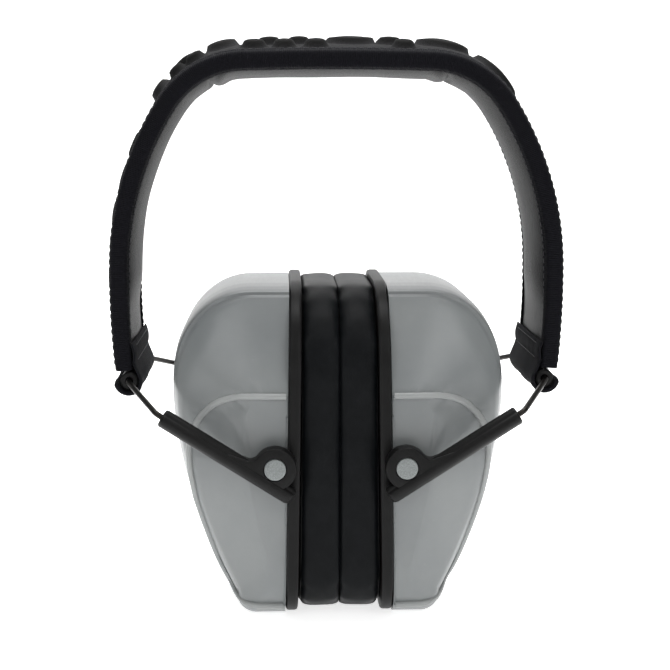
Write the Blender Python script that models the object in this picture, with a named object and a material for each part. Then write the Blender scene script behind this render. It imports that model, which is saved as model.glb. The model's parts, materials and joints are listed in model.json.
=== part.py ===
"""Folding ear defenders: padded headband, two wire stirrups and two ear cups.

Row frame: origin on the standing surface under the middle, +Z up, X across the
head from ear to ear, Y from the side called front (-Y) to the rear (+Y).
Every cup piece is built at +X, where x is the distance outward from the middle
plane, and is mirrored for the left side.
"""
import math

import bmesh
import bpy
from mathutils import Vector

MM = 0.001
GAP = 0.3 * MM
SIDES = (("left", -1), ("right", 1))

# Headband arch: four arcs of the sleeve's outer face, from the crown down one leg.
CROWN_Z = 189.7 * MM
ARCH_ARCS = ((950.0 * MM, 1.9), (33.4 * MM, 55.0), (105.0 * MM, 31.7), (297.0 * MM, 6.8))
BAND_HALF_WIDTH = 24.0 * MM
BINDING_THICK = 1.9 * MM
BINDING_DEPTH = 5.0 * MM
PAD_HALF_WIDTH = BAND_HALF_WIDTH - BINDING_THICK - GAP
LAYER_DEPTH = 2.6 * MM
SPRING_HALF_WIDTH = 8.3 * MM
SPRING_THICK = 0.85 * MM
COVER_CROWN = (4.0 * MM, 2.0 * MM)
CROWN_FADE = (34.0 * MM, 84.0 * MM)
LINING_CROWN = (2.5 * MM, 0.4 * MM)
LINING_FADE = (32.0 * MM, 15.5 * MM)
PAD_RISE = 2.4 * MM
PAD_EDGE_RISE = 1.8 * MM

# Raised pads: place along the arch, place across it, half length and half width, in mm.
MIDDLE_PADS = (
    (5.0, 8.3, 9.5),
    (-40.0, 6.6, 10.5),
    (38.5, 9.2, 10.5),
    (-68.5, 5.4, 9.5),
    (62.0, 8.0, 10.0),
    (-93.0, 6.0, 9.0),
    (93.0, 6.0, 9.0),
    (-116.0, 5.6, 8.5),
    (116.0, 5.6, 8.5),
    (-136.0, 4.8, 8.0),
    (136.0, 4.8, 8.0),
)
PAIRED_PADS = (
    (-27.5, 13.0, 3.9, 3.4),
    (-17.5, 13.5, 3.6, 3.3),
    (-7.0, 13.5, 3.8, 3.3),
    (-22.5, 5.2, 3.7, 3.5),
    (-12.5, 5.2, 3.7, 3.5),
    (18.0, 5.4, 4.0, 3.6),
    (24.0, 13.4, 3.9, 3.4),
    (-55.0, 12.0, 4.2, 3.6),
    (-54.0, 4.4, 4.4, 3.2),
    (50.5, 13.5, 2.2, 3.4),
    (-81.0, 9.0, 4.4, 4.6),
    (77.5, 9.0, 4.2, 4.6),
    (-104.5, 8.5, 4.0, 4.4),
    (104.5, 8.5, 4.0, 4.4),
    (-126.5, 8.0, 3.6, 4.2),
    (126.5, 8.0, 3.6, 4.2),
)

# Hinge at each end of the band: a barrel in a fabric loop, with a wire through it.
BARREL_RADIUS = 3.0 * MM
BARREL_BORE = 1.35 * MM
BARREL_HALF_LENGTH = 24.6 * MM
BARREL_DROP = 3.6 * MM
BARREL_INSET = 3.65 * MM
LOOP_THICK = 1.8 * MM
LOOP_RADIUS = 4.5 * MM
LOOP_HALF_WIDTH = 21.0 * MM
LOOP_LAP = 10.5 * MM
WIRE_RADIUS = 0.95 * MM
SHOULDER_Y = 26.0 * MM
BEND_BEFORE_MOUTH = 2.2 * MM
BEND_RADIUS = 2.6 * MM

# Sliding tubes with the eye that turns on the cup's pivot pin.
PIN_X = 21.3 * MM
PIN_Z = 56.1 * MM
TUBE_ANGLE = math.radians(32.7)
TUBE_RADIUS = 3.1 * MM
TUBE_BORE = 1.35 * MM
TUBE_LENGTH = 49.6 * MM
TUBE_Y = 47.1 * MM
MOUTH_TO_PIN = 39.7 * MM
EYE_OFFSET = 5.1 * MM
EYE_RADIUS = 6.9 * MM
EYE_INNER_Y = 44.0 * MM
EYE_OUTER_Y = 48.0 * MM
WIRE_IN_TUBE = 38.0 * MM

# Pivot pin: a cap sunk in the eye, a shaft and a snap collar inside the shell.
CAP_RADIUS = 3.5 * MM
CAP_THICK = 1.5 * MM
CAP_PROUD = 0.3 * MM
SHAFT_RADIUS = 2.3 * MM
COLLAR_RADIUS = 3.3 * MM
COLLAR_THICK = 1.2 * MM

# Cup: trim ring, shell, plate and cushion share one rounded outline.
CUP_Z = 57.3 * MM
RING_HALF_WIDTH = 43.2 * MM
RING_HALF_HEIGHT = 56.6 * MM
RING_TOP_CORNER = 27.0 * MM
RING_FOOT_CORNER = 15.0 * MM
RING_X = (13.1 * MM, 17.1 * MM)
RING_OPENING_INSET = 7.0 * MM
CANT = 0.017
SHELL_WALL = 2.0 * MM
SHELL_HALF_WIDTH = 41.8 * MM
SHELL_TOP = 112.8 * MM
SHELL_TOP_CORNER = 26.0 * MM
SHELL_FOOT_ROUND = 14.0 * MM
SHELL_SIDE_CORNER = 27.0 * MM
SHELL_REACH = 55.9 * MM
SHELL_WIDEST_Z = 80.0 * MM
SHELL_SHOULDER_X = 29.0 * MM
SHELL_SQUARENESS = 0.94
SHELL_TAPER = 1.68
SHELL_FOOT_X = 28.5 * MM
SHELL_FOOT_CORNER = (6.6 * MM, 7.0 * MM)
SHELL_FRONT_SHARE = 0.38
RIM_CLEARANCE = 1.0 * MM
FOAM_WALL = 8.0 * MM
PLATE_X = (9.9 * MM, 12.8 * MM)
CUSHION_FACE_X = 0.15 * MM
CUSHION_INSET = 1.5 * MM
CUSHION_OPENING_INSET = 24.0 * MM
CUSHION_OPENING_CORNER = 16.0 * MM
SKIN = 1.2 * MM
PLUG_HEIGHT = 11.2 * MM
PLUG_HALF = (3.2 * MM, 4.6 * MM)


def clear_scene():
    """Remove whatever the opened file holds."""
    for item in list(bpy.data.objects):
        bpy.data.objects.remove(item, do_unlink=True)


def make_material(name, colour, roughness, metallic=0.0):
    """A plain Principled material."""
    material = bpy.data.materials.new(name)
    material.use_nodes = True
    shader = material.node_tree.nodes["Principled BSDF"]
    shader.inputs["Base Color"].default_value = (*colour, 1.0)
    shader.inputs["Roughness"].default_value = roughness
    shader.inputs["Metallic"].default_value = metallic
    return material


FINISHES = {
    "cover": ((0.020, 0.020, 0.024), 0.85, 0.0),
    "lining": ((0.030, 0.030, 0.032), 0.45, 0.0),
    "binding": ((0.012, 0.012, 0.015), 0.9, 0.0),
    "steel": ((0.30, 0.30, 0.31), 0.4, 1.0),
    "wire": ((0.060, 0.058, 0.055), 0.35, 0.9),
    "black_plastic": ((0.018, 0.018, 0.018), 0.45, 0.0),
    "grey_plastic": ((0.24, 0.26, 0.26), 0.35, 0.0),
    "cushion": ((0.012, 0.014, 0.016), 0.5, 0.0),
    "foam": ((0.045, 0.045, 0.048), 0.95, 0.0),
}


def add_solid(name, points, faces, finish, origin=Vector(), side=1, smooth_angle=35.0):
    """One closed solid as its own object; side -1 mirrors it across the middle plane."""
    centre = Vector((side * origin.x, origin.y, origin.z))
    work = bmesh.new()
    corners = [work.verts.new(Vector((side * p.x, p.y, p.z)) - centre) for p in points]
    for face in faces:
        work.faces.new([corners[index] for index in face])
    bmesh.ops.recalc_face_normals(work, faces=work.faces)
    mesh = bpy.data.meshes.new(name)
    work.to_mesh(mesh)
    work.free()
    mesh.shade_smooth()
    mesh.set_sharp_from_angle(angle=math.radians(smooth_angle))
    item = bpy.data.objects.new(name, mesh)
    item.location = centre
    bpy.context.collection.objects.link(item)
    colour, roughness, metallic = FINISHES[finish]
    mesh.materials.append(make_material(name, colour, roughness, metallic))
    return item


def as_tool(item):
    """Hide an object that only shapes another."""
    item.hide_render = True
    item.display_type = "WIRE"
    return item


def combine(item, tool, operation):
    """Join a hidden tool to an object, or cut it away."""
    step = item.modifiers.new(tool.name, "BOOLEAN")
    step.operation = operation
    step.solver = "EXACT"
    step.object = as_tool(tool)


def loft(rings, closed=False):
    """Points and faces of a skin over equal closed rings, capped unless it closes on itself."""
    count = len(rings[0])
    points = [point for ring in rings for point in ring]
    faces = []
    spans = len(rings) if closed else len(rings) - 1
    for row in range(spans):
        here = row * count
        there = ((row + 1) % len(rings)) * count
        for column in range(count):
            after = (column + 1) % count
            faces.append((here + column, here + after, there + after, there + column))
    if not closed:
        faces.append(tuple(range(count)))
        faces.append(tuple(range(len(points) - count, len(points))))
    return points, faces


def turned(profile, centre, axis=Vector((0.0, 1.0, 0.0)), steps=16):
    """Points and faces of a solid of revolution; profile is (distance along axis, radius)."""
    across = axis.orthogonal().normalized()
    up = axis.cross(across)
    rings = []
    for along, radius in profile:
        ring = []
        for step in range(steps):
            angle = math.tau * step / steps
            offset = across * math.cos(angle) + up * math.sin(angle)
            ring.append(centre + axis * along + offset * radius)
        rings.append(ring)
    return loft(rings)


def rounded_path(corners, radius, steps=4):
    """The corner points of a path with each inner corner replaced by an arc."""
    path = [corners[0]]
    for before, corner, after in zip(corners, corners[1:], corners[2:]):
        back = (before - corner).normalized()
        ahead = (after - corner).normalized()
        half = back.angle(ahead) / 2.0
        reach = radius / math.tan(half)
        centre = corner + (back + ahead).normalized() * (radius / math.sin(half))
        start = (corner + back * reach - centre).normalized()
        end = (corner + ahead * reach - centre).normalized()
        for step in range(steps + 1):
            path.append(centre + start.slerp(end, step / steps) * radius)
    path.append(corners[-1])
    return path


def swept_rod(path, radius, steps=8):
    """Points and faces of a round rod along a path."""
    rings = []
    across = (path[1] - path[0]).orthogonal().normalized()
    for index, point in enumerate(path):
        before = path[max(index - 1, 0)]
        after = path[min(index + 1, len(path) - 1)]
        along = (after - before).normalized()
        across = (across - along * across.dot(along)).normalized()
        up = along.cross(across)
        ring = []
        for step in range(steps):
            angle = math.tau * step / steps
            ring.append(point + across * (radius * math.cos(angle)) + up * (radius * math.sin(angle)))
        rings.append(ring)
    return loft(rings)


# ---------------------------------------------------------------- headband


def arch_length():
    """Length of one half of the arch."""
    return sum(radius * math.radians(sweep) for radius, sweep in ARCH_ARCS)


def arch_frame(distance):
    """Point on the sleeve's outer face, the outward normal and the way down the leg."""
    side = -1.0 if distance < 0 else 1.0
    left = abs(distance)
    across = 0.0
    height = CROWN_Z
    heading = 0.0
    for radius, sweep in ARCH_ARCS:
        turn = min(left / radius, math.radians(sweep))
        across += radius * (math.sin(heading + turn) - math.sin(heading))
        height -= radius * (math.cos(heading) - math.cos(heading + turn))
        heading += turn
        left -= turn * radius
        if left <= 1e-9:
            break
    point = Vector((side * across, 0.0, height))
    outward = Vector((side * math.sin(heading), 0.0, math.cos(heading)))
    down = Vector((side * math.cos(heading), 0.0, -math.sin(heading)))
    return point, outward, down


def arch_stations():
    """Distances along the arch, closer together round the tight corners."""
    spans = (2, 6, 5, 2)
    distances = [0.0]
    for (radius, sweep), pieces in zip(ARCH_ARCS, spans):
        length = radius * math.radians(sweep)
        start = distances[-1]
        for piece in range(pieces):
            distances.append(start + length * (piece + 1) / pieces)
    return [-d for d in reversed(distances[1:])] + distances


def eased(value, start, end, first, last):
    """first at start, last at end, and a smooth change between them."""
    share = min(max((value - start) / (end - start), 0.0), 1.0)
    return first + (last - first) * share * share * (3.0 - 2.0 * share)


def crown_at(distance):
    """How far the cover rises above its bound edges: most over the head, less down the legs."""
    return eased(abs(distance), *CROWN_FADE, *COVER_CROWN)


def lining_crown_at(distance):
    """How far the lining is padded out; it is sewn flat at the ends of the band."""
    return eased(-arch_length() + abs(distance), -LINING_FADE[0], -LINING_FADE[1], *LINING_CROWN)


def band_layer(name, section_at, finish):
    """A layer of the headband; section_at gives its (width, height) outline at a distance."""
    rings = []
    for distance in arch_stations():
        point, outward, _ = arch_frame(distance)
        rings.append([point + outward * rise + Vector((0.0, across, 0.0)) for across, rise in section_at(distance)])
    points, faces = loft(rings)
    return add_solid(name, points, faces, finish)


def crowned_edge(base, crown, steps=6):
    """Section points of a face that rises by crown in the middle of the pad's width."""
    edge = []
    for step in range(steps + 1):
        share = 2.0 * step / steps - 1.0
        edge.append((share * PAD_HALF_WIDTH, base + crown * (1.0 - share ** 2)))
    return edge


def pad_spots():
    """Centre along the arch, centre across it, half length and half width of each raised pad."""
    spots = [(place, 0.0, length, width) for place, length, width in MIDDLE_PADS]
    for place, across, length, width in PAIRED_PADS:
        spots += [(place, -across, length, width), (place, across, length, width)]
    return [tuple(size * MM for size in spot) for spot in spots]


def raised_pad(index, place, across, half_length, half_width):
    """A low oval pad with a domed top, sunk into the cover."""
    steps = 10
    levels = ((-2.4 * MM, 1.0), (PAD_EDGE_RISE, 0.94), (PAD_RISE, 0.6))
    base = crown_at(place) * (1.0 - (across / PAD_HALF_WIDTH) ** 2)
    rings = []
    for rise, share in levels:
        ring = []
        for step in range(steps):
            angle = math.tau * step / steps
            point, outward, _ = arch_frame(place + half_length * share * math.cos(angle))
            sideways = Vector((0.0, across + half_width * share * math.sin(angle), 0.0))
            ring.append(point + outward * (base + rise) + sideways)
        rings.append(ring)
    points, faces = loft(rings)
    return add_solid(f"pad_form_{index}", points, faces, "cover")


def make_headband():
    """Cover with raised pads, lining, spring and the two bound edges."""
    groove_half = SPRING_HALF_WIDTH + GAP
    groove_top = -LAYER_DEPTH + SPRING_THICK + GAP
    under = [
        (PAD_HALF_WIDTH, -LAYER_DEPTH),
        (groove_half, -LAYER_DEPTH),
        (groove_half, groove_top),
        (-groove_half, groove_top),
        (-groove_half, -LAYER_DEPTH),
        (-PAD_HALF_WIDTH, -LAYER_DEPTH),
    ]
    cover = band_layer("headband_cover", lambda place: crowned_edge(-GAP, crown_at(place)) + under, "cover")
    for index, spot in enumerate(pad_spots()):
        combine(cover, raised_pad(index, *spot), "UNION")

    lining_top = -LAYER_DEPTH - GAP
    lining_back = [(PAD_HALF_WIDTH, lining_top), (-PAD_HALF_WIDTH, lining_top)]
    lining_base = -BINDING_DEPTH + GAP
    band_layer("headband_lining",
               lambda place: crowned_edge(lining_base, -lining_crown_at(place)) + lining_back, "lining")

    spring_low = -LAYER_DEPTH
    spring_high = spring_low + SPRING_THICK
    spring = [
        (-SPRING_HALF_WIDTH, spring_low),
        (SPRING_HALF_WIDTH, spring_low),
        (SPRING_HALF_WIDTH, spring_high),
        (-SPRING_HALF_WIDTH, spring_high),
    ]
    band_layer("headband_spring", lambda place: spring, "steel")

    for name, side in (("front_binding", -1), ("rear_binding", 1)):
        inner = side * (BAND_HALF_WIDTH - BINDING_THICK)
        outer = side * BAND_HALF_WIDTH
        section = ((inner, -BINDING_DEPTH), (outer, -BINDING_DEPTH), (outer, 0.0), (inner, 0.0))
        band_layer(name, lambda place, outline=section: outline, "binding")


def hinge_centre():
    """The stirrup hinge's axis on the right side, just past the end of the sleeve."""
    point, outward, down = arch_frame(arch_length())
    return point - outward * BARREL_INSET + down * BARREL_DROP


def loop_path():
    """Middle line of the fabric loop: round the barrel, then up the inner face of the lining."""
    centre = hinge_centre()
    end_point, outward, down = arch_frame(arch_length())
    path = []
    steps = 9
    for step in range(steps + 1):
        angle = math.pi * 1.08 * step / steps
        path.append(centre + (outward * math.cos(angle) + down * math.sin(angle)) * LOOP_RADIUS)
    face = BINDING_DEPTH + LINING_CROWN[1] + LOOP_THICK / 2.0
    path.append(end_point - outward * face - down * 1.0 * MM)
    lap_steps = 3
    for step in range(lap_steps + 1):
        distance = arch_length() - 2.5 * MM - LOOP_LAP * step / lap_steps
        point, normal, _ = arch_frame(distance)
        path.append(point - normal * face)
    return path


def make_band_end(label, side):
    """The fabric loop and the hinge barrel that it holds."""
    path = loop_path()
    near = []
    far = []
    for index, point in enumerate(path):
        before = path[max(index - 1, 0)]
        after = path[min(index + 1, len(path) - 1)]
        along = (after - before).normalized()
        normal = Vector((along.z, 0.0, -along.x)) * (LOOP_THICK / 2.0)
        near.append(point + normal)
        far.append(point - normal)
    outline = near + far[::-1]
    ends = [Vector((0.0, y, 0.0)) for y in (-LOOP_HALF_WIDTH, LOOP_HALF_WIDTH)]
    points, faces = loft([[point + end for point in outline] for end in ends])
    add_solid(f"{label}_end_loop", points, faces, "binding", side=side)

    centre = hinge_centre()
    length = BARREL_HALF_LENGTH
    points, faces = turned(((-length, BARREL_RADIUS), (length, BARREL_RADIUS)), centre)
    barrel = add_solid(f"{label}_hinge_barrel", points, faces, "black_plastic", centre, side)
    points, faces = turned(((-2 * length, BARREL_BORE), (2 * length, BARREL_BORE)), centre)
    combine(barrel, add_solid(f"{label}_barrel_bore", points, faces, "wire", centre, side), "DIFFERENCE")


# ---------------------------------------------------------------- stirrup and sliding tubes


def tube_direction():
    """The way the tube runs, from its mouth in and down towards the pin."""
    return Vector((-math.cos(TUBE_ANGLE), 0.0, -math.sin(TUBE_ANGLE)))


def tube_mouth(y):
    """The middle of the tube's open end."""
    rise = Vector((-math.sin(TUBE_ANGLE), 0.0, math.cos(TUBE_ANGLE)))
    pin = Vector((PIN_X, y, PIN_Z))
    return pin - rise * EYE_OFFSET - tube_direction() * MOUTH_TO_PIN


def make_stirrup(label, side):
    """One bent wire: across the barrel, out to both tubes and down inside them."""
    centre = hinge_centre()
    corners = []
    for end in (-1, 1):
        mouth = tube_mouth(end * TUBE_Y)
        leg = [
            mouth + tube_direction() * WIRE_IN_TUBE,
            mouth - tube_direction() * BEND_BEFORE_MOUTH,
            Vector((centre.x, end * SHOULDER_Y, centre.z)),
        ]
        corners += leg if end < 0 else leg[::-1]
    path = rounded_path(corners, BEND_RADIUS)
    points, faces = swept_rod(path, WIRE_RADIUS)
    add_solid(f"{label}_wire_stirrup", points, faces, "wire", centre, side)


def make_tube(label, place, side, end):
    """A tube with a blind bore for the wire and an eye for the pivot pin."""
    name = f"{label}_{place}_tube"
    mouth = tube_mouth(end * TUBE_Y)
    along = tube_direction()
    edge = 0.5 * MM
    body = (
        (0.0, TUBE_RADIUS - edge),
        (edge, TUBE_RADIUS),
        (TUBE_LENGTH - edge, TUBE_RADIUS),
        (TUBE_LENGTH, TUBE_RADIUS - edge),
    )
    points, faces = turned(body, mouth, along)
    tube = add_solid(name, points, faces, "black_plastic", mouth, side)

    pin = Vector((PIN_X, 0.0, PIN_Z))
    eye = ((end * EYE_INNER_Y, EYE_RADIUS), (end * EYE_OUTER_Y, EYE_RADIUS))
    points, faces = turned(eye, pin, steps=28)
    combine(tube, add_solid(f"{name}_eye", points, faces, "black_plastic", pin, side), "UNION")

    bore = ((-1.0 * MM, TUBE_BORE), (TUBE_LENGTH - 4.0 * MM, TUBE_BORE))
    points, faces = turned(bore, mouth, along, steps=12)
    combine(tube, add_solid(f"{name}_bore", points, faces, "wire", mouth, side), "DIFFERENCE")

    seat = EYE_OUTER_Y + CAP_PROUD - CAP_THICK - GAP
    hole = (
        (end * (EYE_INNER_Y - 1.0 * MM), SHAFT_RADIUS + GAP),
        (end * seat, SHAFT_RADIUS + GAP),
        (end * seat, CAP_RADIUS + GAP),
        (end * (EYE_OUTER_Y + 3.0 * MM), CAP_RADIUS + GAP),
    )
    points, faces = turned(hole, pin)
    combine(tube, add_solid(f"{name}_pin_hole", points, faces, "wire", pin, side), "DIFFERENCE")


def make_pin(label, place, side, end):
    """Pivot pin: cap, shaft and snap collar."""
    cap_top = EYE_OUTER_Y + CAP_PROUD
    cap_low = cap_top - CAP_THICK
    inner_wall = SHELL_HALF_WIDTH - SHELL_WALL - GAP
    profile = (
        (end * cap_top, CAP_RADIUS),
        (end * cap_low, CAP_RADIUS),
        (end * cap_low, SHAFT_RADIUS),
        (end * inner_wall, SHAFT_RADIUS),
        (end * inner_wall, COLLAR_RADIUS),
        (end * (inner_wall - COLLAR_THICK), SHAFT_RADIUS),
    )
    pin = Vector((PIN_X, 0.0, PIN_Z))
    points, faces = turned(profile, pin)
    add_solid(f"{label}_{place}_pivot_pin", points, faces, "grey_plastic", pin, side)


# ---------------------------------------------------------------- ear cup


def canted(point):
    """Lean the joint face of the cup so that its cushion is thicker at the bottom."""
    share = min(point.x / RING_X[0], 1.0)
    fade_from = RING_X[1]
    if point.x > fade_from:
        share = max(0.0, 1.0 - (point.x - fade_from) / (SHELL_SHOULDER_X - fade_from))
    return Vector((point.x + CANT * share * (CUP_Z - point.z), point.y, point.z))


def outline(inset, corner_steps=5):
    """The cup's rounded outline in Y and Z, moved inward by inset; it turns into the ear opening's."""
    share = inset / CUSHION_OPENING_INSET
    points = []
    for quarter, (sign_y, sign_z) in enumerate(((1, 1), (-1, 1), (-1, -1), (1, -1))):
        corner = RING_TOP_CORNER if sign_z > 0 else RING_FOOT_CORNER
        radius = corner * (1.0 - share) + CUSHION_OPENING_CORNER * share
        half_y = RING_HALF_WIDTH - inset - radius
        half_z = RING_HALF_HEIGHT - inset - radius
        for step in range(corner_steps + 1):
            angle = math.pi / 2.0 * (quarter + step / corner_steps)
            y = sign_y * half_y + radius * math.cos(angle)
            z = sign_z * half_z + radius * math.sin(angle)
            points.append((y, CUP_Z + z))
    return points


def ring_solid(section):
    """A ring that follows the outline; section is a loop of (inset, x) points."""
    loops = [outline(inset) for inset, _ in section]
    rings = []
    for station in range(len(loops[0])):
        ring = []
        for (_, x), loop in zip(section, loops):
            y, z = loop[station]
            ring.append(canted(Vector((x, y, z))))
        rings.append(ring)
    return loft(rings, closed=True)


def shell_profile(steps):
    """The shell seen from the front: x and z from the top rim round to the bottom rim."""
    rim = RING_X[1] + GAP
    points = [(rim, SHELL_TOP)]
    half_wide = SHELL_REACH - SHELL_SHOULDER_X
    half_tall = SHELL_TOP - SHELL_WIDEST_Z
    for step in range(steps + 1):
        angle = math.pi / 2.0 - math.pi / 2.0 * step / steps
        x = SHELL_SHOULDER_X + half_wide * math.cos(angle) ** SHELL_SQUARENESS
        points.append((x, SHELL_WIDEST_Z + half_tall * math.sin(angle) ** SHELL_SQUARENESS))
    corner_x, corner_z = SHELL_FOOT_CORNER
    foot_reach = SHELL_FOOT_X + corner_x
    fall = SHELL_WIDEST_Z - corner_z
    for step in range(1, steps + 1):
        share = step / steps
        x = SHELL_REACH - (SHELL_REACH - foot_reach) * share ** SHELL_TAPER
        points.append((x, SHELL_WIDEST_Z - fall * share))
    for step in (1, 2, 3):
        angle = math.pi / 2.0 * step / 3
        points.append((SHELL_FOOT_X + corner_x * math.cos(angle), corner_z * (1.0 - math.sin(angle))))
    points.append((rim, 0.0))
    return points


def corner_drop(share, corner):
    """How far a rounded corner has fallen at this share of the shell's half width."""
    run = max(0.0, abs(share) * SHELL_HALF_WIDTH - (SHELL_HALF_WIDTH - corner))
    return corner - math.sqrt(max(corner ** 2 - run ** 2, 0.0))


def shell_form(wall, shares, rim_shift=0.0, steps=6):
    """The cup's solid shape, its faces moved inward by wall and its open side moved by rim_shift."""
    rim = RING_X[1] + GAP
    middle = SHELL_TOP / 2.0
    rings = []
    for share in shares:
        y = (SHELL_HALF_WIDTH - wall) * share
        top_scale = 1.0 - corner_drop(share, SHELL_TOP_CORNER) / middle
        foot_scale = 1.0 - corner_drop(share, SHELL_FOOT_ROUND) / middle
        bow = 1.0 - corner_drop(share, SHELL_SIDE_CORNER) / SHELL_SIDE_CORNER
        deep = SHELL_FRONT_SHARE + (1.0 - SHELL_FRONT_SHARE) * bow
        ring = []
        for x, z in shell_profile(steps):
            wall_x = wall * (x - rim) / (SHELL_REACH - rim)
            wall_z = wall * (z - middle) / middle
            out = rim + (x - rim - wall_x) * deep
            up = middle + (z - middle - wall_z) * (top_scale if z > middle else foot_scale)
            if x == rim:
                out += rim_shift
            ring.append(canted(Vector((out, y, up))))
        rings.append(ring)
    return loft(rings)


def slice_shares(pieces):
    """Places of the slices across the cup, from front to rear, closer together at the faces."""
    return [math.sin(math.pi / 2.0 * (2.0 * piece / pieces - 1.0)) for piece in range(pieces + 1)]


def make_shell(label, side):
    """Outer shell: a hollow moulding, open towards the head, with a hole for each pin."""
    pin = Vector((PIN_X, 0.0, PIN_Z))
    shares = slice_shares(14)
    points, faces = shell_form(0.0, shares)
    shell = add_solid(f"{label}_shell", points, faces, "grey_plastic", pin, side)
    points, faces = shell_form(SHELL_WALL, shares, -RIM_CLEARANCE)
    combine(shell, add_solid(f"{label}_shell_hollow", points, faces, "wire", pin, side), "DIFFERENCE")
    for place, end in (("rear", 1), ("front", -1)):
        hole = ((end * 35.0 * MM, SHAFT_RADIUS + GAP), (end * 50.0 * MM, SHAFT_RADIUS + GAP))
        points, faces = turned(hole, pin)
        combine(shell, add_solid(f"{label}_shell_{place}_hole", points, faces, "wire", pin, side),
                "DIFFERENCE")


def make_foam_insert(label, side):
    """Sound-absorbing foam bowl inside the shell, hollow for the ear."""
    pin = Vector((PIN_X, 0.0, PIN_Z))
    shares = slice_shares(8)
    outer_wall = SHELL_WALL + COLLAR_THICK + 4 * GAP
    points, faces = shell_form(outer_wall, shares, RIM_CLEARANCE, 4)
    foam = add_solid(f"{label}_foam_insert", points, faces, "foam", pin, side)
    points, faces = shell_form(outer_wall + FOAM_WALL, shares, -RIM_CLEARANCE, 4)
    combine(foam, add_solid(f"{label}_foam_hollow", points, faces, "wire", pin, side), "DIFFERENCE")


def make_cup_rings(label, side):
    """Trim ring, cushion plate, cushion skin and cushion foam."""
    pin = Vector((PIN_X, 0.0, PIN_Z))
    low, high = RING_X
    edge = 0.8 * MM
    trim = (
        (edge, low),
        (0.0, low + edge),
        (0.0, high - edge),
        (edge, high),
        (RING_OPENING_INSET, high),
        (RING_OPENING_INSET, low),
    )
    points, faces = ring_solid(trim)
    add_solid(f"{label}_trim_ring", points, faces, "black_plastic", pin, side)

    plate_outer = CUSHION_INSET + SKIN + GAP
    plate_inner = CUSHION_OPENING_INSET - SKIN - GAP
    plate = (
        (plate_outer, PLATE_X[0]),
        (plate_outer, PLATE_X[1]),
        (plate_inner, PLATE_X[1]),
        (plate_inner, PLATE_X[0]),
    )
    points, faces = ring_solid(plate)
    add_solid(f"{label}_cushion_plate", points, faces, "black_plastic", pin, side)

    back = PLATE_X[1]
    face = CUSHION_FACE_X
    lip = 3.5 * MM
    outer = CUSHION_INSET
    inner = CUSHION_OPENING_INSET
    skin = (
        (outer, back),
        (outer, face + lip),
        (outer + 0.3 * lip, face + 0.3 * lip),
        (outer + lip, face),
        (inner - lip, face),
        (inner - 0.3 * lip, face + 0.3 * lip),
        (inner, face + lip),
        (inner, back),
        (inner - SKIN, back),
        (inner - SKIN, face + lip),
        (inner - lip, face + SKIN),
        (outer + lip, face + SKIN),
        (outer + SKIN, face + lip),
        (outer + SKIN, back),
    )
    points, faces = ring_solid(skin)
    add_solid(f"{label}_cushion_skin", points, faces, "cushion", pin, side)

    core_outer = outer + SKIN + GAP
    core_inner = inner - SKIN - GAP
    core_face = face + SKIN + GAP
    core = (
        (core_outer, PLATE_X[0] - GAP),
        (core_outer, core_face + lip),
        (core_outer + lip, core_face),
        (core_inner - lip, core_face),
        (core_inner, core_face + lip),
        (core_inner, PLATE_X[0] - GAP),
    )
    points, faces = ring_solid(core)
    add_solid(f"{label}_cushion_foam", points, faces, "foam", pin, side)


def make_plug(label, side):
    """Small oval plug standing on the lower part of the shell's outer face."""
    corner_x, corner_z = SHELL_FOOT_CORNER
    fall = SHELL_WIDEST_Z - corner_z
    foot_reach = SHELL_FOOT_X + corner_x

    def face_x(z):
        share = (SHELL_WIDEST_Z - z) / fall
        return SHELL_REACH - (SHELL_REACH - foot_reach) * share ** SHELL_TAPER

    low = Vector((face_x(PLUG_HEIGHT - PLUG_HALF[1]), 0.0, PLUG_HEIGHT - PLUG_HALF[1]))
    high = Vector((face_x(PLUG_HEIGHT + PLUG_HALF[1]), 0.0, PLUG_HEIGHT + PLUG_HALF[1]))
    up = (high - low).normalized()
    outward = Vector((up.z, 0.0, -up.x))
    centre = (low + high) / 2.0
    steps = 20
    rings = []
    for rise, share in ((0.4 * MM, 1.0), (1.1 * MM, 1.0), (1.5 * MM, 0.85)):
        ring = []
        for step in range(steps):
            angle = math.tau * step / steps
            along = up * (PLUG_HALF[1] * share * math.sin(angle))
            across = Vector((0.0, PLUG_HALF[0] * share * math.cos(angle), 0.0))
            ring.append(centre + outward * rise + along + across)
        rings.append(ring)
    points, faces = loft(rings)
    add_solid(f"{label}_vent_plug", points, faces, "black_plastic", Vector((PIN_X, 0.0, PIN_Z)), side)


def build():
    """Make every piece."""
    clear_scene()
    make_headband()
    for label, side in SIDES:
        make_band_end(label, side)
        make_stirrup(label, side)
        for place, end in (("front", -1), ("rear", 1)):
            make_tube(label, place, side, end)
            make_pin(label, place, side, end)
        make_shell(label, side)
        make_foam_insert(label, side)
        make_cup_rings(label, side)
        make_plug(label, side)


build()
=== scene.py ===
"""The looks of the hearing protection earmuffs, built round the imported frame.

All lengths are in metres in the shared frame: +Z up, X across the head, -Y the front.
Every piece of a side is built at +X, where x is the distance outward from the middle
plane, and mirrored for the left side.
"""
import json
import math

import bmesh
import bpy
from mathutils import Matrix, Vector, noise
from mathutils.bvhtree import BVHTree


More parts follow.
